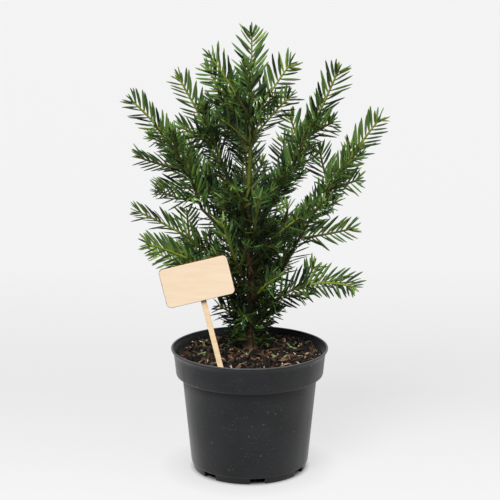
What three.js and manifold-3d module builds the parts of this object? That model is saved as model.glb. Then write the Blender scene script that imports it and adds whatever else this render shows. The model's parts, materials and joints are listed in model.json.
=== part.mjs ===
// A young English yew, upright and bushy, growing in a round nursery pot with a small wooden plant label.
// Millimetres, +Z up. The origin is the middle of the pot's flat underside.
// Azimuths are degrees about +Z from +X.
// A rise is the steepness of a stem: 0 is level and 90 is straight up.

import * as THREE from "three";
import { mergeVertices } from "three/addons/utils/BufferGeometryUtils.js";
import Module from "manifold-3d";

const wasm = await Module();
wasm.setup();

// ---------------------------------------------------------------- driving dimensions

const CLEARANCE = 0.3; // gap between two pieces that touch

const POT = {
  height: 135,
  lipRadius: 85,
  lipHeight: 4.5,
  collarTop: 82,
  collarBottom: 80,
  collarHeight: 30,
  shoulderRadius: 73,
  heelRadius: 64,
  heelHeight: 8,
  footRadius: 61.4,
  wall: 2.4,
  discRadius: 30, // the flat middle of the underside
  channelRadius: 55, // outside of the raised drain channel round it
  channelHeight: 7,
  channelSlope: 3, // across, of the channel's inner side
  notches: 7,
  firstNotch: -82, // azimuth
  notchWidth: 16,
  notchHeight: 6.4,
  notchDepth: 20,
  drainRadius: 4, // of the holes in the channel, one between each two notches
  drainSides: 6,
  segments: 32,
};

const SOIL = {
  crown: 132.2, // height of the level spot that the trunk stands on
  edge: 128.5,
  levelRadius: 13,
  crumb: 1.1, // height of the lumps
  rings: 4,
};

const LABEL = {
  x: -29.7, // where the stick enters the soil
  y: -64.2,
  z: 129,
  lean: 13.6, // towards -X
  stickWidth: 5.6,
  stickThickness: 2,
  stickDepth: 22, // below the soil
  pointHeight: 7,
  stickHeight: 106,
  boardWidth: 72,
  boardHeight: 42,
  boardThickness: 3,
  boardCorner: 5,
  boardMiddle: 97, // up the stick
  boardOffset: -1.5, // across the stick
};

const TRUNK = {
  foot: SOIL.crown + CLEARANCE,
  top: 382,
  baseRadius: 4.3,
  tipRadius: 1.6,
  flareRadius: 3.4, // added to the radius at the ground
  flareHeight: 7,
  flareLobes: 4,
  swayX: 1.6,
  swayY: 0.8,
  leanX: 0.6,
  sides: 8,
  steps: 15,
};

const LIMB = { sides: 5, step: 14, baseShare: 0.62, tipRadius: 1.5 }; // baseShare of the trunk's radius

const STEM = { baseRadius: 1.5, sideRadius: 1.15, tipRadius: 0.45 };

// the small twigs that leave an older spray by turns to its left and right
const TWIG = {
  every: 27,
  turn: 50,
  turnSpread: 14,
  drop: 12, // how much less steep than the spray
  dropSpread: 12,
  share: 0.5, // of the length of spray beyond it
  shortest: 18,
  longest: 38,
  air: 7, // kept free to every stem but its own
};

const NEEDLE = {
  length: 26,
  spacing: 3.1, // along the stem; the needles stand to its left and right by turns
  lean: 52, // away from the stem
  tipLean: 22,
  tipReach: 18, // the stretch below a shoot's tip in which the needles close in and shorten
  tipShortening: 0.5,
  footReach: 12, // the stretch above its foot in which they are shorter
  footShortening: 0.35,
  spread: 32, // how far a needle may stand out of the plane of its fan
  lift: 10, // how far both sides of the fan are raised
  bud: 7, // the point that ends a shoot
  air: 0.7, // kept free between needles of different shoots
};

// how far the flat of a spray turns from level: `turn` on a side bough, and `spread` either way on all
const FAN = { turn: 66, spread: 18 };

// A bough: its height on the trunk and azimuth, a bare limb, and the spray that grows on from it.
// Limb and spray are each a length and the rises at foot and tip. A spray turns by `turn` from its limb,
// and its side shoots leave it `at` a length from its foot. With no limb it leaves the trunk as a spray.
const BOUGHS = [
  { name: "leader", foot: TRUNK.top, azimuth: 90, spray: [92, 90, 90], spread: 50 },
  { name: "crown_left", foot: 377, azimuth: 165, spray: [82, 64, 50] },
  { name: "crown_back_left", foot: 366, azimuth: 136, spray: [92, 40, 50] },
  { name: "crown_right", foot: 376, azimuth: 14, spray: [75, 60, 52] },
  { name: "crown_front_right", foot: 356, azimuth: 340, spray: [67, 57, 42] },
  { name: "crown_front_left", foot: 352, azimuth: 238, spray: [64, 40, 24] },
  { name: "crown_back", foot: 343, azimuth: 112, spray: [104, 34, 58] },
  {
    name: "upper_left",
    foot: 279,
    azimuth: 190,
    limb: [26, 58, 60],
    spray: [136, 69, 60],
    turn: -7,
    shoots: [
      { at: 52, turn: 8, rise: [40, 28], length: 44 },
      { at: 62, turn: 60, rise: [30, 10], length: 30 },
    ],
  },
  { name: "front_left", foot: 270, azimuth: 258, limb: [20, 44, 42], spray: [80, 40, 22] },
  {
    name: "mid_left",
    foot: 236,
    azimuth: 195,
    limb: [74, 44, 46],
    spray: [138, 74, 42],
    turn: -5,
    shoots: [
      { at: 46, turn: 0, rise: [8, 24], length: 51 },
      { at: 8, turn: 14, rise: [10, 26], length: 48 },
      { at: 12, turn: 70, rise: [22, 0], length: 36 },
    ],
  },
  {
    name: "low_left",
    foot: 195,
    azimuth: 190,
    limb: [38, 48, 46],
    spray: [115, 44, 24],
    shoots: [{ at: 52, turn: -18, rise: [82, 88], length: 30 }],
  },
  {
    name: "bottom_left",
    foot: 183,
    azimuth: 201,
    limb: [30, 42, 40],
    spray: [108, 42, 18],
    shoots: [{ at: 40, turn: -60, rise: [30, 10], length: 30 }],
  },
  { name: "front_low_left", foot: 199, azimuth: 242, limb: [24, 42, 44], spray: [79, 48, 64] },
  {
    name: "upper_right",
    foot: 259,
    azimuth: 345,
    limb: [30, 52, 50],
    spray: [170, 60, 67],
    shoots: [
      { at: 92, turn: -20, rise: [36, 26], length: 37 },
      { at: 80, turn: 150, rise: [58, 66], length: 36 },
    ],
  },
  {
    name: "mid_right",
    foot: 186,
    azimuth: 352,
    limb: [46, 46, 44],
    spray: [194, 64, 53],
    shoots: [
      { at: 42, turn: -14, rise: [10, 18], length: 60 },
      { at: 106, turn: -16, rise: [12, 24], length: 33 },
      { at: 104, turn: 140, rise: [64, 74], length: 43 },
    ],
  },
  {
    name: "front_right",
    foot: 228,
    azimuth: 315,
    limb: [22, 48, 44],
    spray: [72, 40, 34],
    shoots: [{ at: 46, turn: 62, rise: [80, 88], length: 24 }],
  },
  {
    name: "low_right",
    foot: 160,
    azimuth: 350,
    limb: [26, 50, 45],
    spray: [99, 47, -13],
    shoots: [{ at: 46, turn: 8, rise: [54, 70], length: 26 }],
  },
  { name: "front", foot: 232, azimuth: 277, limb: [18, 46, 44], spray: [86, 44, 54] },
  { name: "front_low_right", foot: 181, azimuth: 294, limb: [18, 46, 42], spray: [60, 38, 24] },
  { name: "foot_left", foot: 155, azimuth: 200, spray: [46, 46, 30] },
  { name: "foot_front", foot: 160, azimuth: 262, spray: [56, 30, 16] },
  { name: "base_left", foot: 142, azimuth: 214, spray: [20, 14, 4] },
  { name: "base_right", foot: 142, azimuth: 328, spray: [20, 14, 4] },
  {
    name: "back_high",
    foot: 312,
    azimuth: 98,
    limb: [22, 46, 48],
    spray: [100, 50, 54],
    shoots: [{ at: 38, turn: 40, rise: [40, 40], length: 46 }],
  },
  {
    name: "back_right",
    foot: 240,
    azimuth: 54,
    limb: [26, 46, 48],
    spray: [126, 50, 50],
    shoots: [
      { at: 48, turn: -20, rise: [60, 60], length: 40 },
      { at: 72, turn: 36, rise: [52, 56], length: 44 },
    ],
  },
  {
    name: "back_mid",
    foot: 218,
    azimuth: 95,
    limb: [28, 42, 43],
    spray: [132, 44, 46],
    shoots: [
      { at: 48, turn: 42, rise: [26, 30], length: 56 },
      { at: 72, turn: -38, rise: [40, 44], length: 50 },
    ],
  },
  {
    name: "back_left",
    foot: 251,
    azimuth: 146,
    limb: [26, 46, 45],
    spray: [122, 46, 42],
    shoots: [
      { at: 48, turn: 32, rise: [30, 30], length: 48 },
      { at: 72, turn: -36, rise: [50, 50], length: 46 },
    ],
  },
  {
    name: "back_low_right",
    foot: 200,
    azimuth: 52,
    limb: [26, 42, 38],
    spray: [90, 38, 24],
    shoots: [{ at: 40, turn: 32, rise: [20, 16], length: 46 }],
  },
  {
    name: "back_low_left",
    foot: 172,
    azimuth: 156,
    limb: [24, 38, 33],
    spray: [106, 33, 14],
    shoots: [{ at: 44, turn: -36, rise: [26, 14], length: 52 }],
  },
  {
    name: "back_low",
    foot: 167,
    azimuth: 80,
    limb: [24, 38, 33],
    spray: [102, 33, 12],
    shoots: [{ at: 42, turn: 32, rise: [24, 12], length: 48 }],
  },
  { name: "foot_back", foot: 150, azimuth: 66, spray: [52, 32, 22] },
];

// ---------------------------------------------------------------- materials

const FINISH = {
  pot: { color: 0x33363a, roughness: 0.55, metalness: 0 },
  soil: { color: 0x2c2019, roughness: 1, metalness: 0 },
  board: { color: 0xf0d6b0, roughness: 0.75, metalness: 0 },
  stick: { color: 0xe6c994, roughness: 0.75, metalness: 0 },
  trunk: { color: 0x5b452c, roughness: 0.9, metalness: 0 },
  bough: { color: 0x6e5c2a, roughness: 0.85, metalness: 0 },
  foliage: { color: 0x35552b, roughness: 0.5, metalness: 0 },
};

// ---------------------------------------------------------------- helpers

const UP = new THREE.Vector3(0, 0, 1);
const { clamp, degToRad, lerp } = THREE.MathUtils;

/** A repeatable value from 0 to 1 for a whole number. */
function chance(seed) {
  const wave = Math.sin(seed * 12.9898 + 4.1414) * 43758.5453;
  return wave - Math.floor(wave);
}

/** A repeatable value from -1 to 1. */
function jitter(seed) {
  return 2 * chance(seed) - 1;
}

/** The unit vector of an azimuth and a rise in degrees. */
function heading(azimuth, rise) {
  const turn = degToRad(azimuth);
  const climb = degToRad(rise);
  return new THREE.Vector3(
    Math.cos(climb) * Math.cos(turn),
    Math.cos(climb) * Math.sin(turn),
    Math.sin(climb),
  );
}

/** A closed geometry as a manifold-3d solid. */
function solidOf(geometry) {
  const bare = geometry.clone();
  bare.deleteAttribute("normal");
  bare.deleteAttribute("uv");
  const merged = mergeVertices(bare, 1e-4);
  return new wasm.Manifold(
    new wasm.Mesh({
      numProp: 3,
      vertProperties: merged.getAttribute("position").array,
      triVerts: new Uint32Array(merged.index.array),
    }),
  );
}

/** A manifold-3d solid as a geometry. */
function geometryOf(solid) {
  const { vertProperties, triVerts } = solid.getMesh();
  const geometry = new THREE.BufferGeometry();
  geometry.setAttribute("position", new THREE.BufferAttribute(vertProperties, 3));
  geometry.setIndex(new THREE.BufferAttribute(triVerts, 1));
  geometry.computeVertexNormals();
  return geometry;
}

/** A solid cut clear of another, without any loose scrap that the cut leaves. */
function cutClear(solid, other) {
  const pieces = solid.subtract(other).decompose();
  return pieces.reduce((largest, piece) => (piece.volume() > largest.volume() ? piece : largest));
}

/** Moves every vertex of a geometry: `place` reads its first place and sets the new one. */
function reshape(geometry, place) {
  const position = geometry.getAttribute("position");
  for (let i = 0; i < position.count; i++) {
    const from = new THREE.Vector3().fromBufferAttribute(position, i);
    const to = from.clone();
    place(from, to);
    position.setXYZ(i, to.x, to.y, to.z);
  }
  return geometry;
}

/** A closed shape turned about +Z from [radius, height] pairs that start and end on the axis. */
function turned(profile, segments) {
  const points = profile.map(([radius, height]) => new THREE.Vector2(radius, height));
  return new THREE.LatheGeometry(points, segments).rotateX(Math.PI / 2);
}

function meshOf(name, geometry, finish) {
  const mesh = new THREE.Mesh(geometry, new THREE.MeshStandardMaterial(finish));
  mesh.name = name;
  return mesh;
}

// ---------------------------------------------------------------- stems

/** A stem's centre line: it leaves `start` along an azimuth, and its rise changes evenly to its tip. */
class StemPath {
  constructor(start, azimuth, [length, footRise, tipRise], step) {
    const steps = Math.max(2, Math.round(length / step));
    Object.assign(this, { azimuth, length, footRise, tipRise, steps });
    this.points = [start.clone()];
    for (let i = 0; i < steps; i++) {
      const along = this.along((i + 0.5) / steps);
      this.points.push(this.points[i].clone().addScaledVector(along, length / steps));
    }
  }

  /** The direction of growth at a share `t` of the length. */
  along(t) {
    return heading(this.azimuth, lerp(this.footRise, this.tipRise, t));
  }

  point(t) {
    const place = clamp(t, 0, 1) * this.steps;
    const i = Math.min(Math.floor(place), this.steps - 1);
    return this.points[i].clone().lerp(this.points[i + 1], place - i);
  }

  /** Right-handed axes at `t`: across the fan, along the stem and out of the fan's upper face. */
  frame(t, roll = 0) {
    const along = this.along(t);
    const across = heading(this.azimuth - 90, 0).applyAxisAngle(along, degToRad(roll));
    return { across, along, face: across.clone().cross(along) };
  }
}

/** A tapered stem with `sides` flats round a path, grown on every side by `margin`. */
function stemGeometry(path, radiusAt, sides, margin = 0) {
  const column = new THREE.CylinderGeometry(1, 1, 1, sides, path.steps).translate(0, 0.5, 0);
  return reshape(column, ({ x, y, z }, vertex) => {
    const t = clamp(y, 0, 1);
    const { across, along, face } = path.frame(t);
    const radius = radiusAt(t) + margin;
    const past = t === 1 ? margin : 0;
    vertex.copy(path.point(t)).addScaledVector(along, past);
    vertex.addScaledVector(across, x * radius).addScaledVector(face, z * radius);
  });
}

// ---------------------------------------------------------------- trunk

/** The middle of the trunk at a height: it sways a little and leans to +X. */
function trunkPoint(height) {
  const t = (height - TRUNK.foot) / (TRUNK.top - TRUNK.foot);
  const x = TRUNK.swayX * Math.sin(2.4 * Math.PI * t) + TRUNK.leanX * t;
  const y = TRUNK.swayY * Math.sin(1.7 * Math.PI * t);
  return new THREE.Vector3(x, y, height);
}

/** The trunk's radius at a height and an angle round it, with the lobes of the root flare at its foot. */
function trunkRadius(height, angle) {
  const t = (height - TRUNK.foot) / (TRUNK.top - TRUNK.foot);
  const flare = TRUNK.flareRadius * Math.exp(-(height - TRUNK.foot) / TRUNK.flareHeight);
  const lobes = 1 + 0.35 * Math.cos(TRUNK.flareLobes * angle);
  return lerp(TRUNK.baseRadius, TRUNK.tipRadius, t) + flare * lobes;
}

/** The trunk, grown on every side by `margin`. */
function trunkGeometry(margin = 0) {
  const column = new THREE.CylinderGeometry(1, 1, 1, TRUNK.sides, TRUNK.steps)
    .translate(0, 0.5, 0)
    .rotateX(Math.PI / 2);
  return reshape(column, ({ x, y, z }, vertex) => {
    // the steps are closer together at the flare
    const height = lerp(TRUNK.foot - margin, TRUNK.top + margin, clamp(z, 0, 1) ** 1.4);
    const angle = Math.atan2(y, x);
    const span = clamp(height, TRUNK.foot, TRUNK.top);
    const radius = Math.hypot(x, y) * (trunkRadius(span, angle) + margin);
    const middle = trunkPoint(span);
    vertex.set(middle.x + radius * Math.cos(angle), middle.y + radius * Math.sin(angle), height);
  });
}

// ---------------------------------------------------------------- own space

/** One straight piece of the plant that others keep clear of, with its half width along its length. */
class Rod {
  constructor(owner, start, end, girth) {
    Object.assign(this, { owner, girth });
    this.line = new THREE.Line3(start, end);
  }

  /** The air left between this rod and another, measured from points spaced along this one. */
  airTo(other) {
    let least = Infinity;
    for (let i = 0; i <= Rod.SAMPLES; i++) {
      const t = i / Rod.SAMPLES;
      this.line.at(t, Rod.here);
      const u = other.line.closestPointToPointParameter(Rod.here, true);
      other.line.at(u, Rod.there);
      const air = Rod.here.distanceTo(Rod.there) - this.girth(t) - other.girth(u);
      least = Math.min(least, air);
    }
    return least;
  }

  static SAMPLES = 9;
  static here = new THREE.Vector3();
  static there = new THREE.Vector3();
}

/** The rods of a stem, one for each few steps of its path. */
function stemRods(owner, path, radiusAt) {
  const rods = [];
  const pieces = Math.max(2, Math.round(path.length / 12));
  for (let i = 0; i < pieces; i++) {
    const t = i / pieces;
    rods.push(new Rod(owner, path.point(t), path.point((i + 1) / pieces), () => radiusAt(t)));
  }
  return rods;
}

/** The rods of the trunk. */
function trunkRods() {
  const rods = [];
  const step = (TRUNK.top - TRUNK.foot) / TRUNK.steps;
  for (let i = 0; i < TRUNK.steps; i++) {
    const height = TRUNK.foot + i * step;
    const radius = trunkRadius(height, 0);
    rods.push(new Rod("trunk", trunkPoint(height), trunkPoint(height + step), () => radius));
  }
  return rods;
}

/** Whether a point of the foliage is clear of the soil, the pot and the label. */
function isOpenAir(point) {
  const radius = Math.hypot(point.x, point.y);
  const overSoil = point.z > SOIL.crown + 1.5;
  const overRim = radius < POT.collarBottom - 6 || point.z > POT.height + 2;
  const onBoard = labelFrame().invert();
  const local = point.clone().applyMatrix4(onBoard);
  const pastBoard =
    Math.abs(local.x - LABEL.boardOffset) > LABEL.boardWidth / 2 + 2 ||
    Math.abs(local.y) > 6 ||
    Math.abs(local.z - LABEL.boardMiddle) > LABEL.boardHeight / 2 + 2;
  return overSoil && overRim && pastBoard;
}

// ---------------------------------------------------------------- foliage

/** The roll that turns the flat of a side shoot towards the front or the back, whichever it grows to. */
function fanRoll(azimuth, seed) {
  const side = Math.sin(degToRad(azimuth)) > 0.35 ? 1 : -1;
  return side * FAN.turn * Math.cos(degToRad(azimuth)) + FAN.spread * jitter(seed + 71);
}

/** The needle at station `i` of a shoot: its point, and the rod from the stem to that point. */
function needleOn({ name, path, roll, spread, seed }, i) {
  const dice = (use) => jitter(seed * 977 + i * 13 + use);
  const t = i / path.steps;
  const closing = clamp(1 - ((1 - t) * path.length) / NEEDLE.tipReach, 0, 1);
  const opening = clamp((t * path.length) / NEEDLE.footReach, 0, 1);
  const { across, along, face } = path.frame(t, roll);
  const side = i % 2 ? 1 : -1;
  const tilt = degToRad(NEEDLE.lift + spread * dice(1));
  const outward = across.multiplyScalar(side * Math.cos(tilt)).addScaledVector(face, Math.sin(tilt));
  const lean = degToRad(lerp(NEEDLE.lean, NEEDLE.tipLean, closing) + 5 * dice(2));
  const direction = along.multiplyScalar(Math.cos(lean)).addScaledVector(outward, Math.sin(lean));
  const tipShare = 1 - NEEDLE.tipShortening * closing;
  const footShare = 1 - NEEDLE.footShortening * (1 - opening);
  const length = NEEDLE.length * tipShare * footShare * (0.95 + 0.08 * dice(3));
  const root = path.point(t);
  const point = root.clone().addScaledVector(direction, length);
  const halfWidth = NEEDLE.spacing * Math.sin(lean);
  return { side, point, rod: new Rod(name, root, point, (share) => halfWidth * (1 - share)) };
}

// the left edge, the right edge and the keel of a shoot's stem, across it and out of its upper face
const SHOOT_EDGES = [
  [-1, 0.5],
  [1, 0.5],
  [0, -1],
];

/** A shoot as one closed shape: a three-edged stem whose side edges run out into needles by turns. */
function shootGeometry({ path, roll, radiusAt }, needles) {
  const { steps } = path;
  const places = [];
  const faces = [];
  for (let i = 0; i <= steps; i++) {
    const t = i / steps;
    const { across, along, face } = path.frame(t, roll);
    const radius = radiusAt(t);
    const needle = needles.get(i);
    SHOOT_EDGES.forEach(([x, z], edge) => {
      const place = path.point(t).addScaledVector(across, x * radius).addScaledVector(face, z * radius);
      places.push(needle?.side === x ? needle.point : place);
      if (i < steps) {
        const [a, b] = [3 * i + edge, 3 * i + ((edge + 1) % 3)];
        // two needle points are never joined across the top
        const flip = edge === 0 && i % 2 === 0;
        faces.push(...(flip ? [a, b, a + 3, b, b + 3, a + 3] : [a, b, b + 3, a, b + 3, a + 3]));
      }
    });
    if (i === steps) {
      places.push(path.point(1).addScaledVector(along, NEEDLE.bud));
    }
  }
  const last = 3 * steps;
  faces.push(0, 2, 1, last, last + 1, last + 3, last + 1, last + 2, last + 3, last + 2, last, last + 3);
  return new THREE.BufferGeometry().setFromPoints(places).setIndex(faces);
}

/** A shoot: one stem with its needles. */
function shootOf(name, path, seed, baseRadius, spread = NEEDLE.spread) {
  const radiusAt = (t) => lerp(baseRadius, STEM.tipRadius, t);
  return { name, path, seed, spread, radiusAt, roll: fanRoll(path.azimuth, seed) };
}

/** The spray that carries a bough on from its limb, followed by the side shoots it is given. */
function sprayOf(bough, number, start) {
  const main = new StemPath(start, bough.azimuth + (bough.turn ?? 0), bough.spray, NEEDLE.spacing);
  const base = Math.min(STEM.baseRadius, LIMB.baseShare * trunkRadius(bough.foot, 0));
  const shoots = [shootOf(bough.name, main, number, base, bough.spread)];
  (bough.shoots ?? []).forEach(({ at, turn, rise, length }, i) => {
    const foot = main.point(at / main.length);
    const path = new StemPath(foot, main.azimuth + turn, [length, ...rise], NEEDLE.spacing);
    shoots.push(shootOf(bough.name + "_side_" + i, path, number + 40 * (i + 1), STEM.sideRadius));
  });
  return shoots;
}

/** The small twigs of a spray that find room among the rods, as further shoots. */
function twigsOf(spray, rods) {
  const { path, name, seed } = spray;
  const twigs = [];
  for (let i = 0; (i + 1.4) * TWIG.every < path.length; i++) {
    const draw = seed * 31 + i * 7;
    const at = (i + 0.6 + 0.25 * jitter(draw)) * TWIG.every;
    const side = (i + seed) % 2 ? 1 : -1;
    const turn = side * (TWIG.turn + TWIG.turnSpread * jitter(draw + 1));
    const drop = TWIG.drop - TWIG.dropSpread * jitter(draw + 2);
    const rise = lerp(path.footRise, path.tipRise, at / path.length) - drop;
    const reach = clamp(TWIG.share * (path.length - at), TWIG.shortest, TWIG.longest);
    const length = reach * (1 + 0.1 * jitter(draw + 3));
    const foot = path.point(at / path.length);
    const twig = new StemPath(foot, path.azimuth + turn, [length, rise, rise - 6], NEEDLE.spacing);
    const shoot = shootOf(name + "_twig_" + i, twig, seed + 400 + 40 * i, STEM.sideRadius);
    const own = stemRods(shoot.name, twig, shoot.radiusAt);
    const isNear = (rod) => own.some((piece) => piece.airTo(rod) < TWIG.air);
    const crowded = rods.some((rod) => rod.owner !== name && isNear(rod));
    if (!crowded) {
      rods.push(...own);
      twigs.push(shoot);
    }
  }
  return twigs;
}

/** The needles of a shoot, by station, that keep clear of every other rod. Their rods join the list. */
function growNeedles(shoot, rods) {
  const kept = new Map();
  const others = rods.filter((rod) => rod.owner !== shoot.name);
  for (let i = 1; i < shoot.path.steps; i++) {
    const needle = needleOn(shoot, i);
    const { line } = needle.rod;
    const near = (rod) => rod.line.start.distanceTo(line.start) < 2 * NEEDLE.length;
    const free = isOpenAir(line.end) && isOpenAir(line.getCenter(new THREE.Vector3()));
    if (free && !others.some((rod) => near(rod) && needle.rod.airTo(rod) < NEEDLE.air)) {
      kept.set(i, needle);
    }
  }
  rods.push(...[...kept.values()].map((needle) => needle.rod));
  return kept;
}

/** One mass of foliage as a solid: all its shoots, joined. */
function foliageSolid(shoots, rods) {
  return wasm.Manifold.union(shoots.map((shoot) => solidOf(shootGeometry(shoot, growNeedles(shoot, rods)))));
}

// ---------------------------------------------------------------- pot, soil and label

/** The pot's inside, from the middle of its floor up to the collar, `gap` in from the wall. */
function potInside(gap) {
  const { wall, channelHeight, heelRadius } = POT;
  const step = POT.height - POT.collarHeight;
  return [
    [0, channelHeight + wall + gap],
    [heelRadius - wall - gap, channelHeight + wall + gap],
    [POT.shoulderRadius - wall - gap, step - wall + gap],
    [POT.collarBottom - wall - gap, step + 1 + gap],
  ];
}

function potGeometry() {
  const { height, lipRadius, lipHeight, collarTop, wall, footRadius, heelRadius, heelHeight } = POT;
  const step = height - POT.collarHeight;
  const outside = [
    [0, 0],
    [POT.discRadius, 0],
    [POT.discRadius + POT.channelSlope, POT.channelHeight],
    [POT.channelRadius, POT.channelHeight],
    [POT.channelRadius + 1.5, 0],
    [footRadius, 0],
    [heelRadius, heelHeight],
    [POT.shoulderRadius, step - 3],
    [POT.shoulderRadius + 1.2, step - 0.8],
    [POT.collarBottom - 1.6, step],
    [POT.collarBottom, step + 2],
    [collarTop, height - lipHeight],
    [lipRadius, height - lipHeight + 1.2],
    [lipRadius, height - 1],
    [lipRadius - 1, height],
    [lipRadius - 3.2, height],
    [collarTop - wall, height - lipHeight],
  ];
  const body = solidOf(turned([...outside, ...potInside(0).reverse()], POT.segments));
  const cuts = [];
  for (let i = 0; i < POT.notches; i++) {
    const azimuth = degToRad(POT.firstNotch + (360 * i) / POT.notches);
    const notch = new THREE.BoxGeometry(POT.notchDepth, POT.notchWidth, 2 * POT.notchHeight)
      .translate(footRadius + 2, 0, 0)
      .rotateZ(azimuth);
    const between = azimuth + Math.PI / POT.notches;
    const drainAt = (POT.discRadius + POT.channelSlope + POT.channelRadius) / 2;
    const drain = new THREE.CylinderGeometry(POT.drainRadius, POT.drainRadius, 30, POT.drainSides)
      .rotateX(Math.PI / 2)
      .translate(drainAt * Math.cos(between), drainAt * Math.sin(between), 0);
    cuts.push(solidOf(notch), solidOf(drain));
  }
  return geometryOf(cuts.reduce((pot, cut) => pot.subtract(cut), body));
}

/** The soil: it fills the pot, and its top is a low mound of lumps, level where the trunk stands. */
function soilGeometry() {
  const inside = potInside(CLEARANCE);
  const edgeRadius = lerp(POT.collarBottom, POT.collarTop, 0.8) - POT.wall - CLEARANCE - 0.2;
  const top = [];
  for (let i = 0; i <= SOIL.rings; i++) {
    const t = i / SOIL.rings;
    const height = lerp(SOIL.edge, SOIL.crown, 1 - (1 - t) ** 2);
    top.push([lerp(edgeRadius, SOIL.levelRadius, t), height]);
  }
  const mound = turned([...inside, ...top, [0, SOIL.crown]], POT.segments);
  return reshape(mound, ({ x, y, z }, vertex) => {
    if (z < SOIL.edge - 1 || Math.hypot(x, y) < SOIL.levelRadius + 1) {
      return;
    }
    const lump = Math.sin(0.31 * x + 1) * Math.cos(0.37 * y) + 0.6 * Math.sin(0.8 * x - 0.7 * y);
    vertex.z += SOIL.crumb * (lump / 1.6 - 0.4);
  });
}

/** The frame of the label: its origin is where the stick enters the soil, and its +Z runs up the stick. */
function labelFrame() {
  return new THREE.Matrix4().makeRotationY(degToRad(-LABEL.lean)).setPosition(LABEL.x, LABEL.y, LABEL.z);
}

/** The stick, pointed at its lower end, grown on every side by `margin`. */
function stickGeometry(margin = 0) {
  const half = LABEL.stickWidth / 2 + margin;
  const foot = -LABEL.stickDepth - margin;
  const outline = new THREE.Shape();
  outline.moveTo(0, foot);
  outline.lineTo(half, foot + LABEL.pointHeight);
  outline.lineTo(half, LABEL.stickHeight);
  outline.lineTo(-half, LABEL.stickHeight);
  outline.lineTo(-half, foot + LABEL.pointHeight);
  outline.closePath();
  const depth = LABEL.stickThickness + 2 * margin;
  return new THREE.ExtrudeGeometry(outline, { depth, bevelEnabled: false })
    .rotateX(Math.PI / 2)
    .translate(0, depth / 2, 0)
    .applyMatrix4(labelFrame());
}

function boardGeometry() {
  const { boardWidth: width, boardHeight: height, boardCorner: corner, boardThickness: depth } = LABEL;
  const outline = new THREE.Shape();
  const [x, y] = [width / 2 - corner, height / 2 - corner];
  outline.absarc(x, -y, corner, -Math.PI / 2, 0);
  outline.absarc(x, y, corner, 0, Math.PI / 2);
  outline.absarc(-x, y, corner, Math.PI / 2, Math.PI);
  outline.absarc(-x, -y, corner, Math.PI, 1.5 * Math.PI);
  outline.closePath();
  const behind = LABEL.stickThickness / 2 + CLEARANCE;
  return new THREE.ExtrudeGeometry(outline, { depth, bevelEnabled: false, curveSegments: 3 })
    .rotateX(Math.PI / 2)
    .translate(LABEL.boardOffset, -behind, LABEL.boardMiddle)
    .applyMatrix4(labelFrame());
}

// ---------------------------------------------------------------- assembly

const yew = new THREE.Group();
yew.add(meshOf("pot", potGeometry(), FINISH.pot));
const slot = solidOf(stickGeometry(CLEARANCE));
yew.add(meshOf("soil", geometryOf(solidOf(soilGeometry()).subtract(slot)), FINISH.soil));
yew.add(meshOf("label_stick", stickGeometry(), FINISH.stick));
yew.add(meshOf("label_board", boardGeometry(), FINISH.board));
yew.add(meshOf("trunk", trunkGeometry(), FINISH.trunk));

const trunkSpace = solidOf(trunkGeometry(CLEARANCE));
const rods = trunkRods();
const masses = [];

// the limbs and the main stems of the sprays take their space first, then the twigs, then the needles
BOUGHS.forEach((bough, number) => {
  let start = trunkPoint(bough.foot);
  let space = trunkSpace; // what its spray is cut clear of
  if (bough.limb) {
    const path = new StemPath(start, bough.azimuth, bough.limb, LIMB.step);
    const baseRadius = LIMB.baseShare * trunkRadius(bough.foot, 0);
    const radiusAt = (t) => lerp(baseRadius, LIMB.tipRadius, t);
    const limbOf = (margin) => solidOf(stemGeometry(path, radiusAt, LIMB.sides, margin));
    yew.add(meshOf("bough_" + bough.name, geometryOf(cutClear(limbOf(0), trunkSpace)), FINISH.bough));
    rods.push(...stemRods("bough_" + bough.name, path, radiusAt));
    start = path.point(1);
    space = limbOf(CLEARANCE);
  }
  const shoots = sprayOf(bough, number, start);
  shoots.forEach((shoot) => rods.push(...stemRods(shoot.name, shoot.path, shoot.radiusAt)));
  masses.push({ name: "foliage_" + bough.name, shoots, space, older: Boolean(bough.limb) });
});

for (const { shoots, older } of masses) {
  if (older) {
    shoots.push(...twigsOf(shoots[0], rods));
  }
}

for (const { name, shoots, space } of masses) {
  const solid = cutClear(foliageSolid(shoots, rods), space);
  yew.add(meshOf(name, geometryOf(solid), FINISH.foliage));
}

export default yew;
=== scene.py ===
"""A young English yew in its nursery pot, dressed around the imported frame.

The plant grows here by the rule of its solids, carried on to finer twigs and separate needles. The plant,
its pot and its label are worked out in millimetres; the studio, the finishes and every finished mesh are in
metres. The origin is the middle of the pot's underside and +Z is up. Azimuths are degrees about +Z from +X,
and a rise is the steepness of a stem: 0 is level and 90 is straight up.
"""

from __future__ import annotations

import json
import logging
import math
from collections.abc import Callable, Iterable, Sequence
from dataclasses import dataclass, field
from enum import Enum
from functools import partial

import bmesh
import bpy
import numpy as np
from mathutils import Matrix, Vector, noise

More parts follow.
